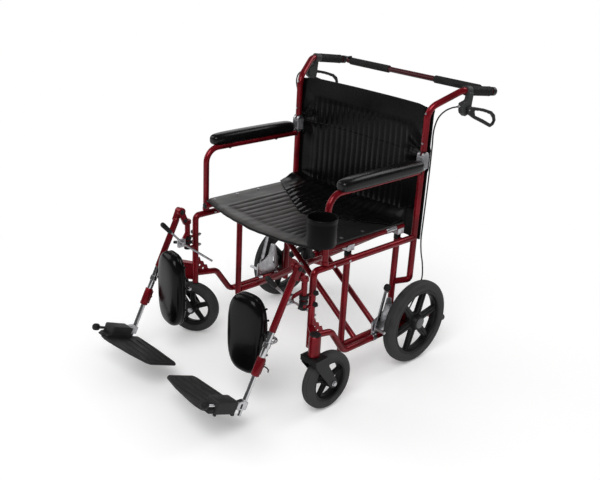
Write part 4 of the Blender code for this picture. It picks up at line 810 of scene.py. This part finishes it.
for word, s in SIDES:
    bar(on_handle(s, 0.1182), on_handle(s, 0.1463), 0.016, 32, 0.0015)
    slab(eased(CASE, 0.003), s * 0.352, s * 0.3703, bevel=0.0022)
    slab(eased(CASE_NECK, 0.003), s * 0.35, s * 0.354, bevel=0.0014)
    sided("lever_case", lever_grey, "cane", "lever_housing")
    bar(at(s * 0.35805, 0.0915, 0.914), at(s * 0.3578, 0.0835, 0.914), 0.0044, 20)
    bar(at(s * 0.3578, 0.084, 0.914), at(s * 0.3576, 0.0775, 0.9139), 0.0034, 20, 0.0006)
    pins(s, (0.118, 0.902, 0.369, 0.3802, 0.0028, 18, 0.0006))
    sided("cable_ferrule", zinc, "cane")
    slab(eased(LOOP, 0.005, 6), s * 0.3711, s * 0.3788, bevel=0.0016, holes=(gap,))
    sided("brake_loop", black_moulding, "lever", "brake_lever")


# Brake cables. A black sheathed cable leaves each housing forwards, bends down beside
# the cane and runs along the back panel's outer edge to the frame's axle plate. The real
# cable bends at the hinge when the cane drops back; this one is a fixed piece on no part.
CABLE_ROUTE = ((0.358, 0.0888, 0.914), (0.3575, 0.075, 0.9138), (0.353, 0.05, 0.9115), (0.3455, 0.028, 0.902),
               (0.336, 0.014, 0.883), (0.327, 0.012, 0.856), (0.32, 0.016, 0.825), (0.3185, 0.02, 0.78),
               (0.3185, 0.021, 0.7), (0.3185, 0.02, 0.6), (0.3185, 0.018, 0.5), (0.3185, 0.018, 0.45),
               (0.3185, 0.027, 0.4), (0.318, 0.042, 0.355), (0.3165, 0.052, 0.3), (0.312, 0.044, 0.245),
               (0.306, 0.024, 0.2), (0.303, 0.01, 0.1715))
CABLE_HALF = 0.0025


def through(points, steps):
    """Points of a smooth curve through the route's own points."""
    places = [Vector(point) for point in points]
    places = [places[0] * 2 - places[1]] + places + [places[-1] * 2 - places[-2]]
    made = []
    for index in range(1, len(places) - 2):
        a, b, c, d = places[index - 1:index + 3]
        for step in range(steps):
            t = step / steps
            made.append(((b * 2) + (c - a) * t + (a * 2 - b * 5 + c * 4 - d) * t ** 2
                         + (b * 3 - a - c * 3 + d) * t ** 3) / 2)
    made.append(places[-2])
    return made


cable_sheath = finish("cable_sheath", "black_plastic", (0.014, 0.014, 0.015), (0.022, 0.022, 0.023), (0.4, 0.52),
                      (60, 1500), 0.2, depth=0.0001, gloss=0.22)
for word, s in SIDES:
    route = [at(s * point.x, point.y, point.z) for point in through(CABLE_ROUTE, 8)]
    run_tube(route, CABLE_HALF, 12)
    cable = finished("brake_cable_line_" + word, cable_sheath, None, "brake_cable_" + word, sharp=None)
    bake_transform(cable)


# Arm rests. A red tube rises from a collar on the seat rail, bends back and is
# welded to the rear post; a glossy moulded pad with a rounded nose is screwed on.
ARM_Y = -0.435
ARM_Z = 0.695
ARM_PAD_X = 0.312
ARM_PAD = ((-0.404, 0.0075, 0.711, 0.725), (-0.4025, 0.0135, 0.7065, 0.729), (-0.399, 0.0185, 0.703, 0.7325),
           (-0.392, 0.0225, 0.701, 0.736), (-0.378, 0.0248, 0.7005, 0.7385), (-0.35, 0.0258, 0.7002, 0.74),
           (-0.3, 0.026, 0.7002, 0.741), (-0.22, 0.026, 0.7002, 0.7415), (-0.14, 0.0258, 0.7002, 0.7415),
           (-0.08, 0.0254, 0.7002, 0.741), (-0.048, 0.0246, 0.7004, 0.74), (-0.034, 0.0228, 0.7012, 0.738),
           (-0.0265, 0.0195, 0.703, 0.735), (-0.022, 0.0145, 0.706, 0.731), (-0.02, 0.008, 0.7105, 0.7265))
pad_skin = finish("pad_skin", "moulded_pad", (0.003, 0.003, 0.0033), (0.0055, 0.0055, 0.0058), (0.22, 0.34),
                  (16, 520), 0.3, coat=0.12, depth=0.0003, gloss=0.22)


def open_edges(verts):
    return list({edge for vertex in verts for edge in vertex.link_edges if len(edge.link_faces) < 2})


def moulded_pad(name, rings, place, material, body, node):
    """A pad from cross-sections along its length: closed rings bridged in turn, then smoothed."""
    loops = []
    for ring in rings:
        made = bmesh.ops.create_circle(work, segments=len(ring), radius=1.0)["verts"]
        for vertex, spot in zip(made, ring):
            vertex.co = place @ spot
        loops.append(made)
    for first, second in zip(loops, loops[1:]):
        bmesh.ops.bridge_loops(work, edges=open_edges(first + second))
    for loop in (loops[0], loops[-1]):
        bmesh.ops.edgeloop_fill(work, edges=open_edges(loop))
    pad = sided(name, material, body, node, sharp=60)
    skin = pad.modifiers.new("skin", "SUBSURF")
    skin.levels = 1
    skin.render_levels = 1


def pad_section(along, half_width, low, high, crown=0.0, sides=40, power=3.0):
    """One rounded-box cross-section of a pad, lying across its length."""
    ring = []
    for step in range(sides):
        turn = math.tau * step / sides
        across, up = (half * math.copysign(abs(share) ** (2 / power), share)
                      for half, share in ((half_width, math.cos(turn)), ((high - low) / 2, math.sin(turn))))
        if up > 0:
            up += crown * (1 - (across / half_width) ** 2)
        ring.append(Vector((across, along, (low + high) / 2 + up)))
    return ring


for word, s in SIDES:
    x = s * FRAME_X
    bent([(x, ARM_Y, 0.471), (x, ARM_Y, ARM_Z), (x, -0.012, ARM_Z)], 0.05, 0.0105, 28, 12)
    upright(x, ARM_Y, 0.4705, 0.4822, 0.0125, 28, 0.0015)
    sided("arm_tube_paint", red_paint, "frame", "arm_tube")
    moulded_pad("arm_pad_skin", [pad_section(along + AXLE_Y, *rest, crown=0.0018) for along, *rest in ARM_PAD],
                Matrix.Translation((s * ARM_PAD_X, 0, 0)), pad_skin, "frame", "arm_pad")
    for y in (-0.33, -0.11):
        turned(at(x, y, ARM_Z), -Z_AXIS, ((0.008, 0.0052), (0.011, 0.0052), (0.0126, 0.0042), (0.0134, 0.0018)), 16)
    bar(at(x, -0.013, ARM_Z), at(x, -0.0095, ARM_Z), 0.0128, 24, 0.001)
    sided("arm_screws", black_cap, "frame", slot="silver_fittings")


# Cup holder. A moulded black cup with a flanged rim, a grooved side and a clip that
# grips the left arm tube. It is turned to shape and opened by its own inner wall.
CUP_X = 0.349
CUP_Y = -0.508
CUP = ((0.57, 0.0002), (0.57, 0.039), (0.5712, 0.043), (0.5744, 0.0446), (0.581, 0.0452), (0.643, 0.0455),
       (0.6448, 0.045), (0.6466, 0.0456), (0.65, 0.0462), (0.6535, 0.0466), (0.657, 0.0466), (0.6582, 0.0456),
       (0.6578, 0.0438), (0.655, 0.043), (0.649, 0.0427), (0.579, 0.0422), (0.5748, 0.0408), (0.5732, 0.037),
       (0.573, 0.0002))
cup_black = finish("cup_black", "black_plastic", (0.0022, 0.0022, 0.0024), (0.004, 0.004, 0.0043), (0.3, 0.44),
                   (20, 1000), 0.25, depth=0.0002, gloss=0.1)
turned_round(CUP, Matrix.Translation(at(CUP_X, CUP_Y, 0)) @ UP_TURN, 56, merge=1e-4)
block(at(0.2975, -0.4795, 0.586), at(0.331, -0.452, 0.612), 0.003, 3)
slab(box(-0.48, -0.452, 0.587, 0.611), 0.324, 0.333, bevel=0.002)
upright(FRAME_X, ARM_Y, 0.583, 0.615, 0.0152, 32, 0.0015)
block(at(0.2975, -0.456, 0.588), at(0.3045, -0.444, 0.61), 0.0015)
finished("cup_shell", cup_black, "frame_left", "cup_holder")


# Casters. Each fork is pressed from black steel sheet: a crown plate and two slanted
# legs on a stem that turns in the frame's barrel. The wheel is moulded with five
# spokes and a thick grey tyre. The left one trails straight, the right one is turned.
CASTER_TYRE = 0.098
CASTER_TRAIL = 0.065
FORK_LEG = [(-0.0245, 0.2062), (0.03, 0.2062), (0.0345, 0.176), (0.08, 0.101), (0.0785, 0.088),
            (0.068, 0.082), (0.056, 0.084), (-0.018, 0.178)]
black_sheet = finish("black_sheet", "black_steel", (0.006, 0.006, 0.0065), (0.01, 0.01, 0.0105), (0.28, 0.42),
                     (16, 700), 0.2, coat=0.1, depth=0.0002, gloss=0.22)
wheel_black = finish("wheel_black", "wheel_plastic", (0.007, 0.007, 0.0075), (0.012, 0.012, 0.013), (0.34, 0.5),
                     (20, 900), 0.25, depth=0.0002, gloss=0.2)
tyre_grey = finish("tyre_grey", "grey_tyre", (0.03, 0.03, 0.032), (0.045, 0.045, 0.046), (0.6, 0.8),
                   (26, 1300), 0.5, depth=0.0003, gloss=0.3)


def mirrored(half):
    """A section from its outer half: points of (along the axle, radius)."""
    return [*half, *((-along, radius) for along, radius in reversed(half))]


def tyre_profile(radius, half, depth, shoulder):
    """A cushion tyre's section: flat seat, bulging walls, rounded tread with two grooves."""
    wall = [(half * out, radius - depth * down) for out, down in ((0.74, 1), (0.9, 0.86), (0.99, 0.62))]
    wall += [(half * out, radius - shoulder * down) for out, down in
             ((1, 1), (0.93, 0.62), (0.78, 0.32), (0.58, 0.13), (0.4, 0.045), (0.37, 0.11), (0.31, 0.11),
              (0.28, 0.02))]
    return mirrored([*wall, (half * 0.12, radius - 0.0001)])


def spoked_web(place, count, turn, hub, ring, spoke_inner, spoke_outer, half):
    """A web with rounded openings between its spokes, and a raised rib along each spoke."""
    reach = ring - 0.006
    outer = math.asin(spoke_outer / 2 / reach)
    inner = math.asin(min(0.95, spoke_inner / 2 / hub))
    holes = []
    for index in range(count):
        start = turn + math.tau * index / count
        end = start + math.tau / count
        opening = arc(reach, start + outer, end - outer, 8) + arc(hub, end - inner, start + inner, 3)
        holes.append(eased(opening, 0.004))
    slab(arc(ring, 0, math.tau, 72)[:-1], -half, half, place @ SIDE_TURN, min(0.0022, half * 0.4), holes)
    for index in range(count):
        angle = turn + math.tau * index / count
        spoke = Vector((0, math.cos(angle), math.sin(angle)))
        for face in (-half, half):
            bar(place @ (X_AXIS * face + spoke * hub * 0.7), place @ (X_AXIS * face + spoke * (ring - 0.004)),
                0.0034, 12)


def moulded_wheel(name, body, place, steps, tyre, rim, web, hub, hub_steps):
    """A tyre on a moulded wheel: its rim, its web of spokes and its hub."""
    turned_round(tyre_profile(*tyre), place, steps, closed=True)
    sided(name + "_tyre_rubber", tyre_grey, body, name + "_tyre")
    turned_round(mirrored(rim), place, steps, closed=True)
    spoked_web(place, *web)
    turned_round(hub, place, hub_steps, closed=True)
    sided(name + "_rim_moulding", wheel_black, body, name + "_rim")


for (word, s), turn in zip(SIDES, (1.0, -57.0)):
    swivel = Matrix.Translation(at(s * CASTER_X, CASTER_Y, 0)) @ Matrix.Rotation(math.radians(turn), 4, "Z")
    wheel = swivel @ Matrix.Translation((0, CASTER_TRAIL, CASTER_TYRE))
    for low, high in ((-0.0348, -0.0302), (0.0302, 0.0348)):
        slab(eased(FORK_LEG, 0.005), low, high, swivel @ SIDE_TURN, 0.0009)
    block((-0.0352, -0.0245, 0.202), (0.0352, 0.03, 0.2068), 0.0016, 3, swivel)
    slab(box(-0.0245, -0.0205, 0.188, 0.204), -0.0345, 0.0345, swivel @ SIDE_TURN, 0.0008)
    bar(swivel @ (Z_AXIS * 0.2055), swivel @ (Z_AXIS * 0.2588), 0.007, 24)
    bar(swivel @ (Z_AXIS * 0.206), swivel @ (Z_AXIS * 0.2078), 0.0125, 28, 0.0004)
    sided("caster_fork_sheet", black_sheet, "fork", "caster_fork")
    for start, end, *rest in ((-0.038, 0.038, 0.0048, 20), (-0.0352, -0.0405, 0.0078, 6, 0.0006),
                              (0.0352, 0.0405, 0.0078, 6, 0.0006), (-0.0346, -0.0358, 0.0092, 28, 0.0003),
                              (0.0346, 0.0358, 0.0092, 28, 0.0003)):
        bar(wheel @ (X_AXIS * start), wheel @ (X_AXIS * end), *rest)
    sided("caster_bolt", zinc, "fork")
    moulded_wheel("caster", "caster", wheel, 80, (CASTER_TYRE, 0.0219, 0.03, 0.015),
                  [(0.0158, 0.0683), (0.0172, 0.07), (0.018, 0.069), (0.0176, 0.0655), (0.016, 0.0625),
                   (0.012, 0.0612)], (5, 0.35, 0.0225, 0.064, 0.02, 0.016, 0.006),
                  mirrored([(0.0272, 0.0052), (0.0274, 0.012), (0.0266, 0.0158), (0.024, 0.0168),
                            (0.008, 0.0195)]), 40)


# Rear wheels. Each is a black moulded wheel of six broad spokes with a solid grey tyre,
# a steel axle bolt into the frame's boss and a grey cap over the hub.
REAR_X = 0.3435
hub_grey = finish("hub_grey", "wheel_plastic", (0.1, 0.1, 0.105), (0.13, 0.13, 0.135), (0.38, 0.52), (24, 900), 0.2,
                  depth=0.0001)
for word, s in SIDES:
    wheel = Matrix.Translation((s * REAR_X, AXLE_Y, REAR_TYRE))
    moulded_wheel("rear", "wheel", wheel, 96, (REAR_TYRE, 0.0222, 0.034, 0.016),
                  [(0.016, 0.1187), (0.0176, 0.1206), (0.0186, 0.1192), (0.0182, 0.115), (0.0166, 0.111),
                   (0.012, 0.109)], (6, math.radians(12), 0.037, 0.112, 0.026, 0.022, 0.008),
                  [(0.024, 0.0064), (0.0242, 0.02),
                   *mirrored([(0.023, 0.0246), (0.02, 0.0258), (0.008, 0.03)]),
                   (-0.0238, 0.02), (-0.0236, 0.0064)], 56)
    turned_round([(s * 0.0236, 0.0188), (s * 0.0262, 0.0186), (s * 0.0278, 0.016), (s * 0.0286, 0.01),
                  (s * 0.0288, 0.0002)], wheel, 48)
    sided("hub_cap", hub_grey, "wheel")
    pins(s, (0, REAR_TYRE, 0.301, 0.36, 0.0058), (0, REAR_TYRE, 0.287, 0.2815, 0.0095, 6, 0.0006))
    sided("rear_axle_bolt", zinc, "frame")


# Wheel locks. A zinc plated plate is clamped to the frame's lower rail and carries a
# lever on a pin. Pushing the black knob forwards turns the eccentric at the lever's
# foot and presses a steel rod into the tyre. A pin stops the lever. Stamped steel.
LOCK_PLATE = [(-0.182, 0.1374), (-0.07, 0.1374), (-0.076, 0.19), (-0.092, 0.256), (-0.112, 0.262), (-0.126, 0.214),
              (-0.182, 0.188)]
LOCK_SLOT = [(-0.0985, 0.172), (-0.0925, 0.172), (-0.0975, 0.205), (-0.1035, 0.205)]
LOCK_ARM = [(-0.168, 0.162), (-0.152, 0.166), (-0.146, 0.202), (-0.1225, 0.299), (-0.134, 0.302), (-0.158, 0.212),
            (-0.17, 0.178)]
for word, s in SIDES:
    slab(eased(LOCK_PLATE, 0.006), s * 0.2985, s * 0.3035, bevel=0.0008, holes=(LOCK_SLOT,))
    for y in (-0.168, -0.086):
        bar(at(s * FRAME_X, y - 0.009, LOWER_RAIL_Z), at(s * FRAME_X, y + 0.009, LOWER_RAIL_Z), 0.0126, 28, 0.0006)
        pins(s, (y, 0.1475, 0.303, 0.3074, 0.0062, 6, 0.0006), (y, 0.1475, 0.2985, 0.294, 0.0044, 18))
    pins(s, (-0.16, 0.172, 0.303, 0.3098, 0.0034, 18), (-0.094, 0.226, 0.303, 0.308, 0.0058))
    sided("lock_plate", zinc, "frame", "wheel_lock_body")
    slab(eased(LOCK_ARM, 0.004), s * 0.3039, s * 0.3087, bevel=0.0009)
    pins(s, (-0.167, 0.166, 0.307, 0.312, 0.0105, 28), (-0.171, 0.163, 0.31, 0.352, 0.0055, 24, 0.001),
         (-0.126, 0.29, 0.3085, 0.311, 0.004, 18))
    sided("lock_lever", zinc, "lock", "wheel_lock_lever")
    turned(at(0, -0.126, 0.305), X_AXIS * s,
           ((0.2988, 0.0066), (0.2996, 0.01), (0.3014, 0.0122), (0.3045, 0.013), (0.3105, 0.013),
            (0.3138, 0.0122), (0.3156, 0.01), (0.3162, 0.0064)), 28)
    sided("lock_knob", black_cap, "lock")


# Leg rest hangers. Each is a red post that stands in the frame's two collars and swings
# outwards, with an arm and a cast link plate to the leg's pivot. A bracket below holds
# the ratchet box of the release lever, and a black ring with a tab is the swing latch.
LEG_Y = -0.5505
LEG_Z = 0.49
LINK_Y = -0.537
LINK_Z = 0.456
RELEASE_Y = -0.558
RELEASE_Z = 0.38
LATCH_Z = 0.3665
LATCH_TAB = ((0.004, -0.519), (0.034, -0.553), (0.022, -0.563), (-0.006, -0.525))
LINK_PLATE = [(-0.521, 0.446), (-0.539, 0.438), (-0.5605, 0.484), (-0.5425, 0.5)]
for word, s in SIDES:
    x = s * LEG_X
    upright(x, SWING_Y, 0.3483, 0.45, 0.0095, 28, 0.0006)
    upright(x, SWING_Y, 0.436, 0.452, 0.013, 32, 0.0024)
    bar(at(x, SWING_Y, 0.44), at(x, -0.5325, 0.464), 0.0092)
    bar(at(x, SWING_Y, 0.408), at(s * 0.28, -0.555, 0.382), 0.0065)
    slab(eased(LINK_PLATE, 0.004), s * 0.2842, s * 0.2963, bevel=0.0016)
    pins(s, (LEG_Y, LEG_Z, 0.284, 0.2965, 0.0155, 32, 0.0016))
    sided("hanger_paint", red_paint, "hanger", "leg_hanger")
    pins(s, (LEG_Y, LEG_Z, 0.2852, 0.2806, 0.0088, 24, 0.0016), (LINK_Y, LINK_Z, 0.2852, 0.2812, 0.0072, 22, 0.0014),
         (LEG_Y, LEG_Z, 0.3126, 0.315, 0.0078, 24, 0.001), (LINK_Y, LINK_Z, 0.296, 0.299, 0.006, 22, 0.001))
    sided("hanger_bolts", black_cap, "hanger")
    pins(s, (LEG_Y, LEG_Z, 0.2955, 0.3135, 0.005, 20, 0.0005))
    block(at(s * 0.2745, -0.572, 0.364), at(s * 0.286, -0.544, 0.394), 0.0016)
    for step in range(5):
        z = 0.3675 + 0.005 * step
        block(at(s * 0.2757, -0.5738, z), at(s * 0.2848, -0.5712, z + 0.0022), 0.0006, 1)
    pins(s, (RELEASE_Y, RELEASE_Z, 0.2755, 0.2664, 0.0025, 18, 0.0004),
         (RELEASE_Y, RELEASE_Z, 0.2667, 0.2652, 0.0042, 18, 0.0004), (-0.556, 0.37, 0.286, 0.289, 0.0046, 18, 0.001))
    sided("ratchet_box", zinc, "hanger")
    turned_round([(-0.00462, 0.014), (0.00462, 0.014), (0.005376, 0.0128), (0.005376, 0.0098), (-0.00462, 0.0098)],
                 Matrix.Translation(at(x, SWING_Y, LATCH_Z)) @ UP_TURN, 32, closed=True)
    tab = [(x + s * out, AXLE_Y + y) for out, y in LATCH_TAB]
    slab(eased(tab, 0.0035), LATCH_Z - 0.0033, LATCH_Z + 0.0033, Matrix(), 0.0012)
    sided("swing_latch_tab", black_moulding, "latch", "swing_latch")


# Release levers. A bent steel rod turns on the ratchet box's pin. Its tail reaches back
# under the seat, and a tapered black knob on its front end stands beside the leg tube.
RELEASE_X = 0.27
for word, s in SIDES:
    x = s * RELEASE_X
    bent([(x, -0.43, 0.281), (x, RELEASE_Y, RELEASE_Z), (x, -0.621, 0.448)], 0.01, 0.004, 18, 5)
    bar(at(x - 0.0038, RELEASE_Y, RELEASE_Z), at(x + 0.0038, RELEASE_Y, RELEASE_Z), 0.008, 26)
    sided("release_rod", zinc, "release", "release_lever")
    heel = at(x, -0.609, 0.434)
    turned(heel, at(x, -0.646, 0.4745) - heel,
           ((0.00, 0.005), (0.02, 0.0068), (0.08, 0.0076), (0.3, 0.008), (0.6, 0.0086), (0.82, 0.0088),
            (0.92, 0.008), (0.97, 0.0064), (1.00, 0.0036)), 26)
    sided("release_knob", black_cap, "release")


# Leg rests. A red tube hangs from the pivot by a flattened eye. In its lower end slides
# a chrome tube with a row of holes in front, and in that the foot tube, held by a red
# clamp sleeve with a small wire hook. A bent rod reaches inwards to carry the calf pad.
LEG_LEAN = math.radians(26.4)
LEG_DOWN = Vector((0, -math.sin(LEG_LEAN), -math.cos(LEG_LEAN)))
LEG_AHEAD = Vector((0, -math.cos(LEG_LEAN), math.sin(LEG_LEAN)))
LEG_PLANE = Matrix((LEG_AHEAD, LEG_DOWN, X_AXIS)).transposed().to_4x4()
LEG_PLANE.translation = at(0, LEG_Y, LEG_Z)
CALF_ROD_Y = -0.615
CALF_ROD_Z = 0.266
EYE = [(0.01, 0.036), (0.0118, 0.004), *arc(0.013, 0, -math.pi, 16), (-0.0118, 0.004), (-0.01, 0.036)]
chrome = finish("chrome_plate", "silver_fittings", (0.72, 0.72, 0.74), (0.62, 0.62, 0.64), (0.06, 0.14), (30, 900),
                0.02, metallic=1.0)
# Flat near black used as painted shade inside holes and slots that are not cut.
hole_painted_shade = finish("hole_painted_shade", "black_plastic", (0.004, 0.004, 0.004), (0.006, 0.006, 0.006), (0.7, 0.9),
                    (40, 900), 0.1)


def on_leg(x, distance, ahead=0.0):
    """A point of the leg rest, so far down its tube from the pivot and so far in front of it."""
    return at(x, LEG_Y, LEG_Z) + LEG_DOWN * distance + LEG_AHEAD * ahead


for word, s in SIDES:
    x = s * LEG_X
    turned(on_leg(x, 0), LEG_DOWN, ((0.026, 0.0098), (0.03, 0.0108), (0.04, 0.0111), (0.205, 0.0111),
                                    (0.2062, 0.0107), (0.2068, 0.01)), 32)
    slab(EYE, s * 0.2972, s * 0.3118, LEG_PLANE, 0.0012)
    sided("leg_tube_paint", red_paint, "leg", "leg_tube")
    turned(on_leg(x, 0), LEG_DOWN, ((0.187, 0.0099), (0.207, 0.01), (0.347, 0.01), (0.348, 0.0094)), 32)
    rod = [on_leg(x, 0.25), at(x, CALF_ROD_Y, CALF_ROD_Z), at(s * 0.15, CALF_ROD_Y, CALF_ROD_Z)]
    run_tube(corners_rounded(rod, 0.016, 8), 0.005)
    bar(on_leg(x, 0.242), on_leg(x, 0.258), 0.0125, 32, 0.001)
    turned(at(0, CALF_ROD_Y, CALF_ROD_Z), X_AXIS * s, ((0.151, 0.0056), (0.15, 0.0056), (0.1492, 0.004)), 20)
    sided("leg_slide_chrome", chrome, "leg", "leg_inner_tube")
    # The holes are not cut: they are painted shade, as dark discs on the chrome tube's front.
    for down in (0.2165, 0.227, 0.2375):
        bar(on_leg(x - s * 0.0028, down, 0.0085), on_leg(x - s * 0.003, down, 0.0102), 0.003, 18, 0.0003)
    sided("leg_slide_hole_shade", hole_painted_shade, "leg")
    turned(on_leg(x, 0), LEG_DOWN, ((0.289, 0.0112), (0.2898, 0.0128), (0.2915, 0.0135), (0.3465, 0.0135),
                                    (0.3482, 0.0128), (0.349, 0.0112)), 32)
    bar(on_leg(x, 0.318, -0.008), on_leg(x, 0.318, -0.0195), 0.006, 24, 0.001)
    block((-0.019, 0.296, x - 0.0045), (-0.008, 0.342, x + 0.0045), 0.001, 2, LEG_PLANE)
    sided("clamp_sleeve_paint", red_paint, "leg", "leg_clamp_sleeve")
    hook = [on_leg(x + s * out, down, ahead) for out, down, ahead in
            ((0, 0.318, -0.015), (0, 0.316, -0.024), (0.01, 0.317, -0.0275), (0.02, 0.319, -0.026),
             (0.0235, 0.326, -0.024))]
    run_tube(corners_rounded(hook, 0.004, 4), 0.0021, 14)
    sided("clamp_hook", black_sheet, "leg")


# Calf pads. A glossy black padded oval is stapled over a backing plate, with a raised
# welt round the back edge, and hangs by two moulded ears on the leg rest's bent rod.
CALF_X = 0.2
CALF_Y = -0.657
CALF_Z = 0.262
CALF_TURN = math.radians(8)
STUDS_Z = (-0.096, -0.06, -0.022, 0.022, 0.06, 0.096)
CALF_HALF_WIDE = 0.0705
CALF_HALF_TALL = 0.1325
CALF_PAD = ((0.0235, 0.3, 2.75), (0.024, 0.72, 2.85), (0.0236, 0.9, 2.95), (0.0215, 0.945, 2.95),
            (0.0196, 0.95, 2.95), (0.0184, 0.975, 2.95), (0.016, 0.992, 2.95), (0.0136, 0.992, 2.95),
            (0.0116, 0.978, 2.95), (0.0104, 0.968, 2.95), (0.008, 0.985, 2.95), (0.003, 1.0, 2.95),
            (-0.003, 1.0, 2.95), (-0.009, 0.985, 2.95), (-0.0145, 0.95, 2.95), (-0.019, 0.89, 2.9),
            (-0.0224, 0.8, 2.85), (-0.0246, 0.68, 2.8), (-0.026, 0.52, 2.75), (-0.0267, 0.32, 2.65),
            (-0.027, 0.12, 2.55))
calf_skin = finish("calf_skin", "black_vinyl", (0.0022, 0.0022, 0.0024), (0.004, 0.004, 0.0043), (0.17, 0.26),
                   (15, 520), 0.25, coat=0.08, depth=0.0003, gloss=0.14)


def calf_section(deep, wide, power):
    """A section of the calf pad at a depth, shrunk to a share of its full width."""
    tall = CALF_HALF_TALL * (wide + (1 - wide) * 0.42)
    return pad_section(deep, CALF_HALF_WIDE * wide, -tall, tall, sides=64, power=power)


for word, s in SIDES:
    place = Matrix.Translation(at(s * CALF_X, CALF_Y, CALF_Z)) @ Matrix.Rotation(s * CALF_TURN, 4, "Z")
    moulded_pad("calf_pad_skin", [calf_section(*row) for row in CALF_PAD], place, calf_skin, "calf", "calf_pad")
    for offset in (-0.03, 0.03):
        x = s * CALF_X + offset
        bar(at(x - 0.004, CALF_ROD_Y, CALF_ROD_Z), at(x + 0.004, CALF_ROD_Y, CALF_ROD_Z), 0.0095, 28, 0.001)
        block(at(x - 0.0038, -0.642, 0.2585), at(x + 0.0038, -0.618, 0.2735), 0.0014)
    sided("calf_pad_ears", black_moulding, "calf")
    for high in STUDS_Z:
        wide = 0.069 * (1 - abs(high / CALF_HALF_TALL) ** 2.9) ** (1 / 2.9)
        for edge in (-wide, wide):
            turned(place @ Vector((edge, 0.02, high)), Y_AXIS,
                   ((0, 0.0034), (0.0026, 0.0034), (0.0042, 0.0026), (0.0048, 0.0012)), 14)
    sided("calf_pad_studs", black_cap, "calf")


# Foot tubes. A chrome tube slides in the clamp sleeve and ends in a flat zinc bracket
# whose slot is painted shade, a dark patch on each face, and from the bracket a chrome pin
# runs forwards as the footplate's hinge.
FOOT_LEAN = math.radians(22)
FOOT_HINGE_Y = -0.752
FOOT_HINGE_Z = 0.0925
BRACKET = [(-0.026, -0.013), (0.014, -0.013), (0.016, 0.012), (-0.004, 0.018), (-0.026, 0.012)]


def foot_hinge(s):
    """The place of the footplate's hinge; its local Y runs back along the pin."""
    return Matrix.Translation(at(s * LEG_X, FOOT_HINGE_Y, FOOT_HINGE_Z)) @ Matrix.Rotation(-FOOT_LEAN, 4, "X")


for word, s in SIDES:
    x = s * LEG_X
    hinge = foot_hinge(s)
    run_tube([on_leg(x, 0.27), on_leg(x, 0.456)], 0.008, 32)
    turned(on_leg(x, 0), LEG_DOWN, ((0.45, 0.006), (0.479, 0.006), (0.48, 0.0052)), 24)
    bar(hinge @ (Y_AXIS * -0.02), hinge @ (Y_AXIS * -0.152), 0.005, 28, 0.0005)
    sided("foot_tube_chrome", chrome, "foot_tube", "foot_extension")
    slab(eased(BRACKET, 0.003), -0.0085, 0.0085, hinge @ SIDE_TURN, 0.0008)
    sided("foot_bracket", zinc, "foot_tube")
    # Painted shade: the slot is not cut, but shown by a dark patch on each face of the bracket.
    slot_shade = eased(box(-0.013, -0.006, -0.0085, 0.0075), 0.001)
    for face in (-1, 1):
        slab(slot_shade, face * 0.008, face * 0.0092, hinge @ SIDE_TURN, 0.0003)
    sided("foot_bracket_slot_shade", hole_painted_shade, "foot_tube")


# Footplates. Moulded dark grey: a pointed plate with five ribs along it, a web and a
# long hinge block that turns on the pin, and a round black knob on the pin's end.
TREAD = [(-0.255, 0.012), (-0.24, 0.02), (-0.12, 0.024), (-0.0165, 0.02), (-0.0165, -0.137),
         (-0.045, -0.142), (-0.075, -0.14), (-0.17, -0.124), (-0.242, -0.103), (-0.255, -0.089)]
PLATE_WEB = [(-0.137, -0.024), (-0.03, -0.024), (-0.03, -0.006), (-0.108, -0.006), (-0.125, -0.012)]
plate_grey = finish("plate_grey", "black_plastic", (0.016, 0.0155, 0.016), (0.024, 0.023, 0.024), (0.42, 0.6),
                    (22, 1200), 0.4, depth=0.0002, gloss=0.25)
block_grey = finish("block_grey", "black_plastic", (0.02, 0.0195, 0.02), (0.028, 0.027, 0.028), (0.45, 0.6),
                    (20, 1200), 0.35, depth=0.0002, gloss=0.25)
for word, s in SIDES:
    hinge = foot_hinge(s)
    slab([(s * u, v) for u, v in eased(TREAD, 0.01, 6)], -0.0255, -0.017, hinge, 0.0026)
    for rail, start, end in ((-0.106, -0.072, -0.206), (-0.076, -0.064, -0.234), (-0.046, -0.06, -0.24),
                             (-0.016, -0.056, -0.24), (0.01, -0.05, -0.23)):
        run_tube([hinge @ Vector((s * along, rail, z)) for along, z in
                  ((start, -0.0183), (start - 0.008, -0.0166), (end + 0.012, -0.0166), (end, -0.0183))], 0.003, 14)
    slab(eased(PLATE_WEB, 0.003), s * 0.006, s * -0.042, hinge @ SIDE_TURN, 0.0016)
    sided("footplate_tread", plate_grey, "foot", "footplate")
    block((s * 0.0125, -0.112, -0.0255), (s * -0.04, -0.03, 0.0175), 0.006, 4, hinge)
    block((s * 0.0118, -0.042, -0.03), (s * 0.002, -0.031, -0.022), 0.0015, 2, hinge)
    block((s * 0.0118, -0.1115, -0.03), (s * 0.002, -0.104, -0.022), 0.0015, 2, hinge)
    sided("footplate_block", block_grey, "foot")
    turned(hinge.translation, hinge.to_3x3() @ Y_AXIS,
           ((-0.1415, 0.0062), (-0.1422, 0.0096), (-0.145, 0.0116), (-0.152, 0.012), (-0.158, 0.0114),
            (-0.1615, 0.0092), (-0.1628, 0.0058)), 30)
    sided("footplate_knob", black_cap, "foot")
